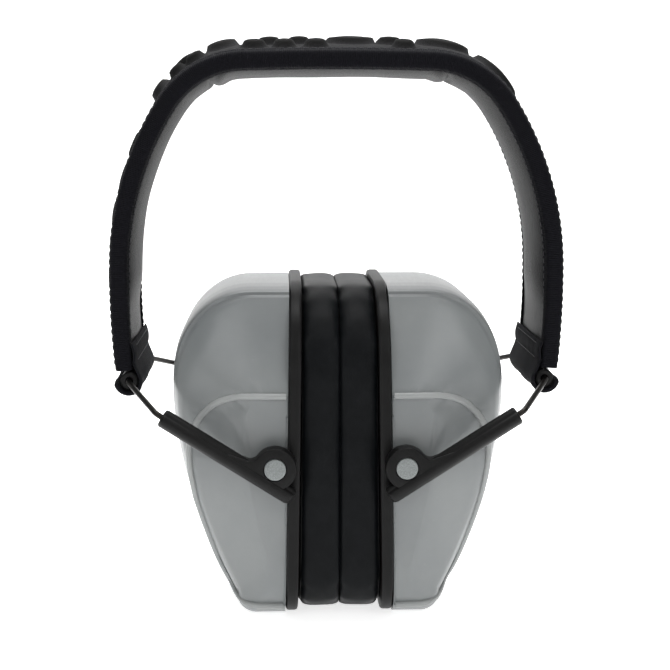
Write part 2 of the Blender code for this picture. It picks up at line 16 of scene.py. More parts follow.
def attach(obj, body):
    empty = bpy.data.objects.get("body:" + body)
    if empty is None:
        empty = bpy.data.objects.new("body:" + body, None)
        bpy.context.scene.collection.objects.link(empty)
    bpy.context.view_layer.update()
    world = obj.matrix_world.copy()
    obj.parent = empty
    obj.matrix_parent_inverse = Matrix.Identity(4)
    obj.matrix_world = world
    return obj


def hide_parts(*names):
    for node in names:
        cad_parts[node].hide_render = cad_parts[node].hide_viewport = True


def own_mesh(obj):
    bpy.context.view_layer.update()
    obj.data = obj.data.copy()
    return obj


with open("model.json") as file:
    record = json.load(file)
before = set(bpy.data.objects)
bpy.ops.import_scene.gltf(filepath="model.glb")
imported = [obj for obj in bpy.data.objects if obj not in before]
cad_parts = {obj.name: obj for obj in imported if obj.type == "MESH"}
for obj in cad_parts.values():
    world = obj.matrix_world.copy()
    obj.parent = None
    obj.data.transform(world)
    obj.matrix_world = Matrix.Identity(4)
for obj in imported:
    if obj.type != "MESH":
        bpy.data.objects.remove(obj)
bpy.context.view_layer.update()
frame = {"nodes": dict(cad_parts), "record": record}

MM = 0.001
SIDES = (("left", -1), ("right", 1))
ENDS = (("front", -1), ("rear", 1))

# Headband, as in the CAD.
CROWN_Z = 189.7 * MM
ARCH_ARCS = ((950.0 * MM, 1.9), (33.4 * MM, 55.0), (105.0 * MM, 31.7), (297.0 * MM, 6.8))
BAND_HALF_WIDTH = 24.0 * MM
BINDING_DEPTH = 5.0 * MM
PAD_HALF_WIDTH = 21.9 * MM
LAYER_DEPTH = 2.6 * MM
COVER_CROWN = (4.0 * MM, 2.0 * MM)
CROWN_FADE = (34.0 * MM, 84.0 * MM)
LINING_CROWN = (2.5 * MM, 0.4 * MM)
LINING_FADE = (32.0 * MM, 15.5 * MM)
LINING_FACE = 4.7 * MM
PAD_RISE = 2.4 * MM
PAD_EDGE_RISE = 1.8 * MM

# Hinge, wire and tubes, as in the CAD.
BARREL_RADIUS = 3.0 * MM
BARREL_BORE = 1.35 * MM
BARREL_HALF_LENGTH = 24.6 * MM
BARREL_DROP = 3.6 * MM
BARREL_INSET = 3.65 * MM
LOOP_RADIUS = 4.5 * MM
WIRE_RADIUS = 0.95 * MM
SHOULDER_Y = 26.0 * MM
PIN_X = 21.3 * MM
PIN_Z = 56.1 * MM
TUBE_ANGLE = math.radians(32.7)
TUBE_RADIUS = 3.1 * MM
TUBE_LENGTH = 49.6 * MM
TUBE_Y = 47.1 * MM
MOUTH_TO_PIN = 39.7 * MM
EYE_OFFSET = 5.1 * MM
EYE_RADIUS = 6.9 * MM
EYE_INNER_Y = 44.0 * MM
WIRE_IN_TUBE = 38.0 * MM
CAP_RADIUS = 3.5 * MM

# Cup, as in the CAD.
CUP_Z = 57.3 * MM
RING_HALF_WIDTH = 43.2 * MM
RING_HALF_HEIGHT = 56.6 * MM
RING_TOP_CORNER = 27.0 * MM
RING_X = (13.1 * MM, 17.1 * MM)
CANT = 0.017
SHELL_HALF_WIDTH = 41.8 * MM
SHELL_TOP = 112.8 * MM
SHELL_REACH = 55.9 * MM
SHELL_WIDEST_Z = 80.0 * MM
SHELL_SHOULDER_X = 29.0 * MM
SHELL_SQUARENESS = 0.94
SHELL_TAPER = 1.68
SHELL_FOOT_X = 28.5 * MM
SHELL_FOOT_CORNER = (6.6 * MM, 7.0 * MM)
SHELL_FRONT_SHARE = 0.38
SHELL_WALL = 2.0 * MM
PLATE_X = (9.9 * MM, 12.8 * MM)
CUSHION_FACE_X = 0.15 * MM
CUSHION_INSET = 1.5 * MM
CUSHION_OPENING_INSET = 24.0 * MM
CUSHION_OPENING_CORNER = 16.0 * MM


# ---------------------------------------------------------------- mesh helpers


def new_piece(name, points, faces, material, side=1, smooth_angle=40.0):
    """A mesh object from points and faces; side -1 mirrors it across the middle plane."""
    work = bmesh.new()
    corners = [work.verts.new((side * p[0], p[1], p[2])) for p in points]
    for face in faces:
        work.faces.new([corners[index] for index in face])
    bmesh.ops.recalc_face_normals(work, faces=work.faces)
    mesh = bpy.data.meshes.new(name)
    work.to_mesh(mesh)
    work.free()
    mesh.shade_smooth()
    mesh.set_sharp_from_angle(angle=math.radians(smooth_angle))
    mesh.materials.append(material)
    item = bpy.data.objects.new(name, mesh)
    bpy.context.scene.collection.objects.link(item)
    return item


def place(item, body, slot, nodes=()):
    """Tie a piece to its body and hide the CAD nodes that it stands for; its slot is not used."""
    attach(item, body)
    if nodes:
        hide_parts(*nodes)


def fit(name, skin, body, slot, nodes=(), side=1, smooth_angle=40.0, finish=None):
    """A piece made of points and faces, placed, with its slot's material or another finish."""
    item = new_piece(name, *skin, MATERIALS[finish or slot], side, smooth_angle)
    place(item, body, slot, nodes)
    return item


def grid_faces(rows, columns, wrap=False, wrap_rows=False):
    """Quads over a rows by columns grid of points."""
    faces = []
    last = columns if wrap else columns - 1
    last_row = rows if wrap_rows else rows - 1
    for row in range(last_row):
        below = row * columns
        above = ((row + 1) % rows) * columns
        for column in range(last):
            after = (column + 1) % columns
            faces.append((below + column, below + after, above + after, above + column))
    return faces


def loft(rings, closed=False):
    """Points and faces of a skin over equal closed rings, capped unless it closes on itself."""
    points = [point for ring in rings for point in ring]
    count = len(rings[0])
    faces = grid_faces(len(rings), count, wrap=True, wrap_rows=closed)
    if not closed:
        faces.append(tuple(range(count)))
        faces.append(tuple(range(len(points) - count, len(points))))
    return points, faces


def circle(steps):
    """Cosine and sine of each of the evenly spaced angles round a circle."""
    angles = [math.tau * step / steps for step in range(steps)]
    return [(math.cos(angle), math.sin(angle)) for angle in angles]


def turned(profile, centre, axis):
    """Points and faces of a solid of revolution; profile is (distance along axis, radius)."""
    across = axis.orthogonal().normalized()
    up = axis.cross(across)
    return loft([[centre + axis * along + (across * c + up * s) * radius for c, s in circle(48)]
                 for along, radius in profile])



def smoothstep(low, high, value):
    """0 below low, 1 above high, and smooth between them."""
    share = min(max((value - low) / (high - low), 0.0), 1.0)
    return share * share * (3.0 - 2.0 * share)


def bevel(item, width, angle):
    """Round the edges of a piece that are sharper than an angle in degrees."""
    step = item.modifiers.new("edge_rounding", "BEVEL")
    step.width = width
    step.segments = 3
    step.limit_method = "ANGLE"
    step.angle_limit = math.radians(angle)
    step.harden_normals = False
    apply_modifiers(item)


def apply_modifiers(item):
    """Bake every modifier of a piece into its mesh."""
    graph = bpy.context.evaluated_depsgraph_get()
    graph.update()
    mesh = bpy.data.meshes.new_from_object(item.evaluated_get(graph))
    item.modifiers.clear()
    item.data = mesh


def smooth_again(item, angle):
    """Smooth shading with hard edges above an angle."""
    item.data.shade_smooth()
    item.data.set_sharp_from_angle(angle=math.radians(angle))


# ---------------------------------------------------------------- materials


class Tree:
    """Short names for building one material's nodes."""

    def __init__(self, name):
        self.material = bpy.data.materials.new(name)
        self.material.use_nodes = True
        self.nodes = self.material.node_tree.nodes
        self.links = self.material.node_tree.links
        self.shader = self.nodes["Principled BSDF"]
        self.coords = self.nodes.new("ShaderNodeTexCoord").outputs["Object"]
        self.last_normal = None

    def set(self, **values):
        """Set the shader's own sockets; an underscore in a name stands for a space."""
        for name, value in values.items():
            self.shader.inputs[name.replace("_", " ")].default_value = value

    def node(self, kind, inputs=None, **settings):
        """A node with its settings, and its inputs linked or set."""
        item = self.nodes.new(kind)
        for name, value in settings.items():
            setattr(item, name, value)
        for name, value in (inputs or {}).items():
            if isinstance(value, bpy.types.NodeSocket):
                self.links.new(value, item.inputs[name])
            else:
                item.inputs[name].default_value = value
        return item

    def noise(self, scale, detail=2.0, roughness=0.5, coords=None):
        """Fractal noise, scale in features per metre."""
        found = self.node("ShaderNodeTexNoise", {"Vector": coords or self.coords, "Scale": scale,
                                                 "Detail": detail, "Roughness": roughness})
        return found.outputs["Fac"]

    def cells(self, scale, feature="F1", randomness=1.0):
        """Distance in a cell pattern, scale in cells per metre."""
        found = self.node("ShaderNodeTexVoronoi", {"Vector": self.coords, "Scale": scale,
                                                   "Randomness": randomness}, feature=feature)
        return found.outputs["Distance"]

    def math(self, operation, first, second=0.0):
        """The result of one operation on one or two values."""
        return self.node("ShaderNodeMath", {0: first, 1: second}, operation=operation).outputs[0]

    def ramp(self, value, low, high, start=0.0, end=1.0):
        """Map value from low..high to start..end, clamped."""
        found = self.node("ShaderNodeMapRange", {"Value": value, "From Min": low, "From Max": high,
                                                 "To Min": start, "To Max": end})
        return found.outputs["Result"]

    def mix(self, factor, first, second):
        """A blend of two colours."""
        found = self.node("ShaderNodeMix", data_type="RGBA")
        self.links.new(factor, found.inputs["Factor"])
        for index, value in ((6, first), (7, second)):
            if isinstance(value, bpy.types.NodeSocket):
                self.links.new(value, found.inputs[index])
            else:
                found.inputs[index].default_value = (*value, 1.0)
        return found.outputs[2]

    def colour(self, socket):
        """Send a colour to the shader."""
        self.links.new(socket, self.shader.inputs["Base Color"])

    def roughness(self, value, low, high):
        """Roughness that follows a 0..1 pattern."""
        self.links.new(self.ramp(value, 0.0, 1.0, low, high), self.shader.inputs["Roughness"])

    def bump(self, height, depth, strength=1.0):
        """Add relief; depth is in metres for a height from 0 to 1."""
        inputs = {"Height": height, "Strength": strength, "Distance": depth}
        if self.last_normal is not None:
            inputs["Normal"] = self.last_normal
        self.last_normal = self.node("ShaderNodeBump", inputs).outputs["Normal"]
        self.links.new(self.last_normal, self.shader.inputs["Normal"])


def cover_fabric():
    """Moulded knit over foam: matt charcoal with a soft bloom, and smoother black pads."""
    tree = Tree("cover_fabric")
    knit = tree.cells(2300.0, randomness=0.8)
    cloudy = tree.noise(90.0, 4.0)
    fibre = tree.noise(5200.0, 2.0)
    shade = tree.mix(tree.ramp(knit, 0.15, 0.75), (0.02, 0.02, 0.021), (0.006, 0.006, 0.0065))
    bloom = tree.mix(tree.ramp(cloudy, 0.35, 0.7, 0.0, 0.45), shade, (0.017, 0.017, 0.018))
    pads = tree.node("ShaderNodeAttribute", attribute_name="pad_share").outputs["Fac"]
    tree.colour(tree.mix(pads, bloom, (0.003, 0.003, 0.0026)))
    tree.roughness(fibre, 0.78, 0.95)
    tree.bump(knit, 0.12 * MM, 0.5)
    tree.bump(fibre, 0.08 * MM, 0.35)
    tree.set(Sheen_Weight=0.03, Sheen_Roughness=0.5, Sheen_Tint=(0.75, 0.75, 0.8, 1.0),
             Specular_IOR_Level=0.08)
    return tree.material


def leather(name, sizes, dark, light, relief, sheen, specular):
    """Grained leatherette with fine creases; sizes are of grain, creases and pores per metre.

    relief holds the creases' detail and roughness, and the depth in mm and strength of
    the grain and of the creases.
    """
    detail, rough, grain_depth, grain_strength, crease_depth, crease_strength = relief
    tree = Tree(name)
    grain = tree.cells(sizes[0], "DISTANCE_TO_EDGE", 0.9)
    creases = tree.noise(sizes[1], detail, rough)
    pores = tree.noise(sizes[2], 2.0)
    tree.colour(tree.mix(tree.ramp(creases, 0.3, 0.75), dark, light))
    tree.roughness(pores, 0.36, 0.5)
    tree.bump(tree.ramp(grain, 0.0, 0.12), grain_depth * MM, grain_strength)
    tree.bump(creases, crease_depth * MM, crease_strength)
    tree.set(Sheen_Weight=sheen, Sheen_Roughness=0.4, Specular_IOR_Level=specular)
    return tree.material


def binding_tape():
    """Ribbed grosgrain tape: matt black yarn with lint in the ribs."""
    tree = Tree("binding_tape")
    yarn = tree.noise(3800.0, 3.0, 0.6)
    lint = tree.noise(420.0, 5.0, 0.7)
    shade = tree.mix(tree.ramp(yarn, 0.3, 0.7), (0.003, 0.003, 0.004), (0.0105, 0.0105, 0.0135))
    tree.colour(tree.mix(tree.ramp(lint, 0.6, 0.8, 0.0, 0.3), shade, (0.03, 0.03, 0.034)))
    tree.roughness(yarn, 0.75, 0.95)
    tree.bump(yarn, 0.12 * MM, 0.6)
    tree.set(Sheen_Weight=0.02, Sheen_Roughness=0.45, Specular_IOR_Level=0.06)
    return tree.material


def thread():
    """Sewing thread: twisted dark yarn."""
    tree = Tree("thread")
    twist = tree.noise(5200.0, 3.0)
    tree.colour(tree.mix(twist, (0.014, 0.014, 0.016), (0.05, 0.05, 0.055)))
    tree.roughness(twist, 0.55, 0.8)
    tree.bump(twist, 0.08 * MM, 0.6)
    return tree.material


def metal(name, dark, light, low, high, scale):
    """Metal with a fine drawn or rolled grain and stains in its finish."""
    tree = Tree(name)
    grain = tree.noise(scale, 3.0, 0.6)
    stains = tree.noise(160.0, 4.0, 0.6)
    tree.colour(tree.mix(tree.ramp(stains, 0.3, 0.7), dark, light))
    tree.roughness(grain, low, high)
    tree.bump(grain, 0.03 * MM, 0.35)
    tree.set(Metallic=1.0)
    return tree.material


def black_plastic():
    """Satin injection-moulded black with a spark-eroded texture, and a painted highlight on its sharp
    edges.
    """
    tree = Tree("black_plastic")
    spark = tree.noise(2600.0, 3.0, 0.6)
    cloudy = tree.noise(140.0, 4.0)
    edges = tree.node("ShaderNodeNewGeometry").outputs["Pointiness"]
    base = tree.mix(tree.ramp(cloudy, 0.3, 0.7), (0.0028, 0.0028, 0.0028), (0.0055, 0.0055, 0.0055))
    # Painted highlight: sharp edges, found by pointiness, are mixed towards a lighter grey.
    tree.colour(tree.mix(tree.ramp(edges, 0.53, 0.62, 0.0, 0.4), base, (0.02, 0.02, 0.02)))
    tree.roughness(spark, 0.34, 0.54)
    tree.bump(spark, 0.05 * MM, 0.4)
    tree.set(Specular_IOR_Level=0.15)
    return tree.material


def grey_shell(name, dark, light):
    """Semi-gloss grey moulding with faint flow marks, dust and fine scuffs."""
    tree = Tree(name)
    flow = tree.noise(45.0, 4.0, 0.55)
    spark = tree.noise(1700.0, 3.0, 0.6)
    stretched = tree.node("ShaderNodeMapping", {"Vector": tree.coords, "Scale": (1.0, 0.15, 1.0)})
    scuffs = tree.noise(900.0, 4.0, 0.75, stretched.outputs["Vector"])
    base = tree.mix(tree.ramp(flow, 0.3, 0.7), dark, light)
    worn = tree.mix(tree.ramp(scuffs, 0.62, 0.78, 0.0, 0.35), base, (0.24, 0.25, 0.248))
    tree.colour(worn)
    tree.roughness(scuffs, 0.28, 0.4)
    tree.bump(spark, 0.03 * MM, 0.18)
    tree.bump(flow, 0.6 * MM, 0.12)
    tree.set(Specular_IOR_Level=0.5, Coat_Weight=0.1, Coat_Roughness=0.25)
    return tree.material


def grey_pin():
    """Grey cap with a coarse speckled texture."""
    tree = Tree("grey_pin")
    speckle = tree.cells(3300.0)
    spark = tree.noise(2400.0, 3.0)
    tree.colour(tree.mix(tree.ramp(speckle, 0.2, 0.6), (0.235, 0.255, 0.25), (0.15, 0.163, 0.163)))
    tree.roughness(spark, 0.4, 0.6)
    tree.bump(speckle, 0.08 * MM, 0.5)
    return tree.material


def foam():
    """Open-cell foam: dark pores in a grey mass."""
    tree = Tree("foam")
    pores = tree.cells(1100.0)
    tree.colour(tree.mix(tree.ramp(pores, 0.1, 0.6), (0.012, 0.012, 0.013), (0.07, 0.07, 0.074)))
    tree.roughness(pores, 0.9, 1.0)
    tree.bump(pores, 0.5 * MM, 0.8)
    return tree.material


# The floor glows round the object and behind it, and fades to the sides and to the front.
GLOW_SIDEWAYS = (0.35, 0.95)
GLOW_FRONTWARD = (-0.4, -0.08)
GLOW_STRENGTH = (0.75, 0.12)
GLOW_IN_FRONT = 0.15


def floor_paper():
    """White studio paper with a faint tooth, lit through from below like a light table."""
    tree = Tree("floor_paper")
    tooth = tree.noise(700.0, 3.0)
    tree.colour(tree.mix(tooth, (0.86, 0.86, 0.86), (0.9, 0.9, 0.9)))
    tree.roughness(tooth, 0.75, 0.9)
    tree.bump(tooth, 0.02 * MM, 0.2)
    place_on = tree.node("ShaderNodeSeparateXYZ", {0: tree.coords}).outputs
    beside = tree.ramp(tree.math("ABSOLUTE", place_on["X"]), *GLOW_SIDEWAYS, *GLOW_STRENGTH)
    behind = tree.ramp(place_on["Y"], *GLOW_FRONTWARD, GLOW_IN_FRONT, 1.0)
    glow = tree.math("MULTIPLY", beside, behind)
    tree.links.new(glow, tree.shader.inputs["Emission Strength"])
    tree.set(Emission_Color=(1.0, 1.0, 1.0, 1.0))
    return tree.material


MATERIALS = {
    "cover_fabric": cover_fabric(),
    "lining": leather("lining", (1500.0, 260.0, 3600.0), (0.004, 0.004, 0.0044),
                      (0.008, 0.008, 0.0085), (6.0, 0.6, 0.05, 0.5, 0.5, 0.25), 0.005, 0.04),
    "binding_tape": binding_tape(),
    "spring_steel": metal("spring_steel", (0.30, 0.30, 0.31), (0.42, 0.42, 0.43), 0.28, 0.45, 1800.0),
    "wire_steel": metal("wire_steel", (0.014, 0.013, 0.012), (0.034, 0.031, 0.029), 0.24, 0.42, 2600.0),
    "black_plastic": black_plastic(),
    "grey_shell": grey_shell("grey_shell", (0.155, 0.166, 0.169), (0.184, 0.195, 0.195)),
    # Painted highlight: the bead gets a lighter copy of the shell's grey, as if it caught more light.
    "bead_painted_highlight": grey_shell("bead_painted_highlight", (0.235, 0.245, 0.243), (0.265, 0.275, 0.272)),
    "grey_pin": grey_pin(),
    "cushion_skin": leather("cushion_skin", (1900.0, 190.0, 4200.0), (0.0018, 0.0024, 0.003),
                            (0.0038, 0.0045, 0.0054), (5.0, 0.55, 0.035, 0.45, 0.4, 0.2),
                            0.01, 0.09),
    "foam": foam(),
    "thread": thread(),
    "floor_paper": floor_paper(),
}


def finish_cad_nodes():
    """Give every CAD node the finish of its slot in the record."""
    for part in frame["record"]["subparts"]:
        item = frame["nodes"][part["node"]]
        item.data.materials.clear()
        item.data.materials.append(MATERIALS[part["material_slot"]])


# ---------------------------------------------------------------- headband

# Raised pads: place along the arch, place across it, half length and half width, in mm.
MIDDLE_PADS = (
    (5.0, 8.3, 9.5), (-37.8, 4.8, 10.5), (35.8, 8.6, 10.5), (-61.5, 3.8, 9.5),
    (55.6, 9.0, 10.0), (-93.0, 6.0, 9.0), (93.0, 6.0, 9.0), (-116.0, 5.6, 8.5),
    (116.0, 5.6, 8.5), (-136.0, 4.8, 8.0), (136.0, 4.8, 8.0),
)
PAIRED_PADS = (
    (-27.5, 13.0, 3.9, 3.4), (-17.5, 13.5, 3.6, 3.3), (-7.0, 13.5, 3.8, 3.3),
    (-22.5, 5.2, 3.7, 3.5), (-12.5, 5.2, 3.7, 3.5), (18.0, 5.4, 4.0, 3.6),
    (22.3, 13.4, 3.6, 3.4), (-46.6, 12.0, 3.0, 3.6), (-53.2, 12.6, 2.9, 3.4),
    (-49.9, 4.4, 4.0, 3.2), (-81.0, 9.0, 4.4, 4.6), (77.5, 9.0, 4.2, 4.6),
    (-104.5, 8.5, 4.0, 4.4), (104.5, 8.5, 4.0, 4.4), (-126.5, 8.0, 3.6, 4.2),
    (126.5, 8.0, 3.6, 4.2),
)
PAD_WALL = 0.7 * MM
PAD_GROOVE = 0.2 * MM
# How much lower the pads are on the two legs, where the cover is stretched.
LEG_FROM = 70.0 * MM
LEG_SHARES = (0.5, 0.25)
COVER_COLUMNS = 64
COVER_SPACING = 0.75 * MM
LINING_COLUMNS = 36
LINING_SPACING = 0.7 * MM
# Folds of the lining inside the corners: place along the arch, depth and half width, in mm.
LINING_FOLDS = (
    (-45.0, 1.5, 1.2),
    (39.5, 1.4, 1.2),
    (-56.5, 0.12, 2.0),
    (51.0, 0.15, 2.0),
)
# How much the middle of the lining stands out past its crown.
LINING_PUFF = 0.5 * MM
# The binding's ribs, the inner edge of its laps, and its stitches.
RIB_PITCH = 0.62 * MM
RIB_HEIGHT = 0.15 * MM
LAP_Y = 19.7 * MM
LAP_THICK = 0.55 * MM
STITCH_Y = 20.7 * MM
STITCH_PITCH = 2.6 * MM
STITCH_LENGTH = 1.9 * MM
STITCH_RADIUS = 0.16 * MM
# Share of a stitch's length, its thickness and its lift, both in stitch radii.
STITCH_SHAPE = (
    (0.0, 0.45, -0.6),
    (0.15, 0.9, 0.2),
    (0.5, 1.0, 0.55),
    (0.85, 0.9, 0.2),
    (1.0, 0.45, -0.6),
)


def arch_length():
    """Length of one half of the arch."""
    return sum(radius * math.radians(sweep) for radius, sweep in ARCH_ARCS)


def arch_frame(distance):
    """Point on the sleeve's outer face, the outward normal and the way down the leg."""
    side = -1.0 if distance < 0 else 1.0
    left = abs(distance)
    across = 0.0
    height = CROWN_Z
    heading = 0.0
    for index, (radius, sweep) in enumerate(ARCH_ARCS):
        limit = math.radians(sweep) if index < len(ARCH_ARCS) - 1 else math.pi
        turn = min(left / radius, limit)
        across += radius * (math.sin(heading + turn) - math.sin(heading))
        height -= radius * (math.cos(heading) - math.cos(heading + turn))
        heading += turn
        left -= turn * radius
        if left <= 1e-9:
            break
    point = Vector((side * across, 0.0, height))
    outward = Vector((side * math.sin(heading), 0.0, math.cos(heading)))
    down = Vector((side * math.cos(heading), 0.0, -math.sin(heading)))
    return point, outward, down


def arch_places(spacing):
    """Evenly spaced distances along the whole arch."""
    count = int(2 * arch_length() / spacing)
    return [arch_length() * (2.0 * step / count - 1.0) for step in range(count + 1)]


def crown_at(distance):
    """How far the cover rises above its bound edges."""
    share = smoothstep(*CROWN_FADE, abs(distance))
    return COVER_CROWN[0] + (COVER_CROWN[1] - COVER_CROWN[0]) * share


def lining_crown_at(distance):
    """How far the lining is padded out; it is sewn flat at the ends of the band."""
    share = smoothstep(arch_length() - LINING_FADE[0], arch_length() - LINING_FADE[1], abs(distance))
    return LINING_CROWN[0] + (LINING_CROWN[1] - LINING_CROWN[0]) * share


def bowl(across):
    """1 in the middle of the pad's width and 0 at its bound edges."""
    return 1.0 - (across / PAD_HALF_WIDTH) ** 2


def columns_across(columns):
    """Evenly spaced places from one bound edge of the pad to the other."""
    return [PAD_HALF_WIDTH * (2.0 * column / columns - 1.0) for column in range(columns + 1)]


def pad_spots():
    """Centre along the arch, centre across it, half length and half width of each raised pad."""
    spots = [(place, 0.0, length, width) for place, length, width in MIDDLE_PADS]
    for place, across, length, width in PAIRED_PADS:
        spots += [(place, -across, length, width), (place, across, length, width)]
    return [tuple(size * MM for size in spot) for spot in spots]


def spots_near(distance, spots):
    """The pads whose slope can reach this place along the arch."""
    return [spot for spot in spots if abs(spot[0] - distance) < spot[2] + 6.0 * MM]


def cover_rise(distance, across, spots):
    """Height of the cover, with its domed pads and the groove round each, and the pad's share."""
    rise = crown_at(distance) * bowl(across)
    share = 0.0
    for place, middle, half_length, half_width in spots:
        radius = math.hypot((distance - place) / half_length, (across - middle) / half_width)
        if radius > 1.6:
            continue
        size = min(half_length, half_width)
        edge = 1.0 - smoothstep(1.0 - PAD_WALL / size, 1.0 + PAD_WALL / size, radius)
        dome = PAD_EDGE_RISE + (PAD_RISE - PAD_EDGE_RISE) * (1.0 - min(radius, 1.0) ** 2)
        if abs(place) > LEG_FROM:
            dome *= LEG_SHARES[0 if place < 0 else 1]
        rise += edge * dome
        share = max(share, edge)
        rise -= PAD_GROOVE * math.exp(-((radius - 1.0) * size / (0.8 * MM) - 0.9) ** 2)
    return rise, share


def cover_profile(distance, spots):
    """Top outline of the cover at one place, slightly uneven."""
    outline = []
    for across in columns_across(COVER_COLUMNS):
        rise, _ = cover_rise(distance, across, spots)
        wobble = noise.noise(Vector((distance * 160.0, across * 160.0, 3.0))) * 0.12 * MM
        outline.append((across, rise - 0.25 * MM + wobble))
    return outline


def band_skin(spacing, section_at):
    """A closed skin round the arch from its (across, rise) outline at each place."""
    rings = []
    for distance in arch_places(spacing):
        point, outward, _ = arch_frame(distance)
        rings.append([point + outward * rise + Vector((0.0, across, 0.0))
                      for across, rise in section_at(distance)])
    return loft(rings)


def make_cover():
    """Moulded fabric cover with puffed oval pads, and each point's share of a pad for its finish."""
    spots = pad_spots()
    low = -LAYER_DEPTH + 1.2 * MM
    underside = [(PAD_HALF_WIDTH, low), (-PAD_HALF_WIDTH, low)]

    def section(distance):
        return cover_profile(distance, spots_near(distance, spots)) + underside

    cover = fit("band_cover", band_skin(COVER_SPACING, section), "headband", "cover_fabric",
                ["headband_cover"], smooth_angle=60.0)
    shares = cover.data.attributes.new("pad_share", "FLOAT", "POINT")
    index = 0
    for distance in arch_places(COVER_SPACING):
        near = spots_near(distance, spots)
        for column, across in enumerate(columns_across(COVER_COLUMNS)):
            shares.data[index + column].value = cover_rise(distance, across, near)[1]
        index += COVER_COLUMNS + 1 + len(underside)


def lining_drop(distance, across):
    """Depth of the lining's face below the sleeve's outer face, with its folds."""
    middle = bowl(across)
    crown = lining_crown_at(distance)
    drop = LINING_FACE + crown * min(middle, bowl(LAP_Y))
    if abs(across) < LAP_Y:
        drop += (crown * (1.0 - bowl(LAP_Y)) + LINING_PUFF) * (1.0 - (across / LAP_Y) ** 2) ** 0.85
    for place_at, depth, half_width in LINING_FOLDS:
        line = place_at * MM + 1.1 * MM * math.sin(across * 150.0 + place_at)
        off = (distance - line) / (half_width * MM)
        inward = -off if place_at > 0.0 else off
        puff = math.exp(-((inward - 3.2) / 2.4) ** 2)
        drop += (0.5 * puff - math.exp(-off ** 2)) * depth * MM * (1.0 - (across / PAD_HALF_WIDTH) ** 6)
    soft = noise.noise(Vector((distance * 55.0, across * 70.0, 9.0)))
    return drop + soft * 0.22 * MM * middle


def make_lining():
    """Padded leatherette lining, gathered where the band turns its corners."""
    high = -LAYER_DEPTH - 0.3 * MM

    def section(distance):
        face = [(across, -lining_drop(distance, across)) for across in columns_across(LINING_COLUMNS)]
        return face + [(PAD_HALF_WIDTH, high), (-PAD_HALF_WIDTH, high)]

    lining = fit("band_lining", band_skin(LINING_SPACING, section), "headband", "lining",
                 ["headband_lining"], smooth_angle=60.0)


def binding_outline(distance, side, rib):
    """Outline of the folded tape over one edge of the band; rib is how far this rib stands out."""
    top = crown_at(distance)
    low = lining_crown_at(distance)
    half = BAND_HALF_WIDTH
    depth = BINDING_DEPTH
    outer = [
        (LAP_Y, top * bowl(LAP_Y) + 0.1 * MM, 0.0),
        (LAP_Y + 0.15 * MM, top * bowl(LAP_Y) + LAP_THICK, 1.0),
        (21.2 * MM, top * bowl(21.2 * MM) + LAP_THICK, 1.0),
        (22.5 * MM, 0.42 * MM, 1.0),
        (23.4 * MM, 0.16 * MM, 1.0),
        (half - 0.12 * MM, -0.4 * MM, 1.0),
        (half + 0.05 * MM, -1.2 * MM, 1.0),
        (half + 0.12 * MM, -depth / 2.0, 1.0),
        (half + 0.05 * MM, 1.2 * MM - depth, 1.0),
        (half - 0.12 * MM, 0.4 * MM - depth, 1.0),
        (23.4 * MM, -depth - 0.1 * MM, 1.0),
        (22.5 * MM, -depth - 0.3 * MM, 1.0),
        (21.2 * MM, -LINING_FACE - low * bowl(21.2 * MM) - LAP_THICK, 1.0),
        (LAP_Y + 0.15 * MM, -LINING_FACE - low * bowl(LAP_Y) - LAP_THICK - 0.1 * MM, 1.0),
        (LAP_Y, -LINING_FACE - low * bowl(LAP_Y) - 0.15 * MM, 0.0),
    ]
    outline = []
    for across, rise, share in outer:
        away = Vector((across - 22.0 * MM, rise + depth / 2.0)).normalized() * (rib * share)
        outline.append((side * (across + away.x), rise + away.y))
    inner = ((21.95 * MM, 0.3 * MM - depth), (21.95 * MM, -0.3 * MM))
    return outline + [(side * across, rise) for across, rise in inner]


def make_bindings():
    """Ribbed tape folded over both edges of the band, sewn down on both faces."""
    count = int(2 * arch_length() / RIB_PITCH)
    for label, side in ENDS:
        rings = []
        for step in range(3 * count + 1):
            distance = arch_length() * (2.0 * step / (3 * count) - 1.0)
            rib = (-1.0, 0.6, 0.6)[step % 3] * RIB_HEIGHT
            point, outward, _ = arch_frame(distance)
            rings.append([point + outward * rise + Vector((0.0, across, 0.0))
                          for across, rise in binding_outline(distance, side, rib)])
        fit(f"band_{label}_tape", loft(rings), "headband", "binding_tape", [f"{label}_binding"],
            smooth_angle=70.0)


def stitch(start, end, normal):
    """Points and faces of one stitch, sunk at both ends."""
    along = (end - start).normalized()
    across = along.cross(normal).normalized()
    rings = []
    for share, thick, lift in STITCH_SHAPE:
        middle = start.lerp(end, share) + normal * (STITCH_RADIUS * lift)
        rings.append([middle + (across * c + normal * s) * (STITCH_RADIUS * thick) for c, s in circle(6)])
    return loft(rings)


def sew(name, runs, body, side=1):
    """One object of stitches; runs is a list of (start, end, normal)."""
    points = []
    faces = []
    for run in runs:
        more, skin = stitch(*run)
        faces += [tuple(index + len(points) for index in face) for face in skin]
        points += more
    fit(name, (points, faces), body, "binding_tape", side=side, finish="thread")


def make_band_stitching():
    """A row of stitches along each lap of both tapes."""
    def stitch_end(here, side, face):
        point, outward, _ = arch_frame(here)
        if face > 0:
            rise = crown_at(here) * bowl(STITCH_Y) + LAP_THICK + 0.1 * MM
        else:
            rise = -LINING_FACE - lining_crown_at(here) * bowl(STITCH_Y) - LAP_THICK - 0.2 * MM
        return point + outward * rise + Vector((0.0, side * STITCH_Y, 0.0)), outward * face

    runs = []
    for distance in arch_places(STITCH_PITCH)[1:-1]:
        for side in (-1, 1):
            for face in (1, -1):
                start, _ = stitch_end(distance - 0.5 * STITCH_LENGTH, side, face)
                end, normal = stitch_end(distance + 0.5 * STITCH_LENGTH, side, face)
                runs.append((start, end, normal))
    sew("band_stitching", runs, "headband")


# ---------------------------------------------------------------- band ends

# The strap is shorter up the lining than the plain solid in the CAD, and wider.
LOOP_LAP = 6.5 * MM
LAP_SWELL = 0.5 * MM
STRAP_HALF_THICK = (0.9 * MM, 0.5 * MM)
STRAP_HALF_WIDTH = 24.2 * MM
HEM_Y = 18.6 * MM


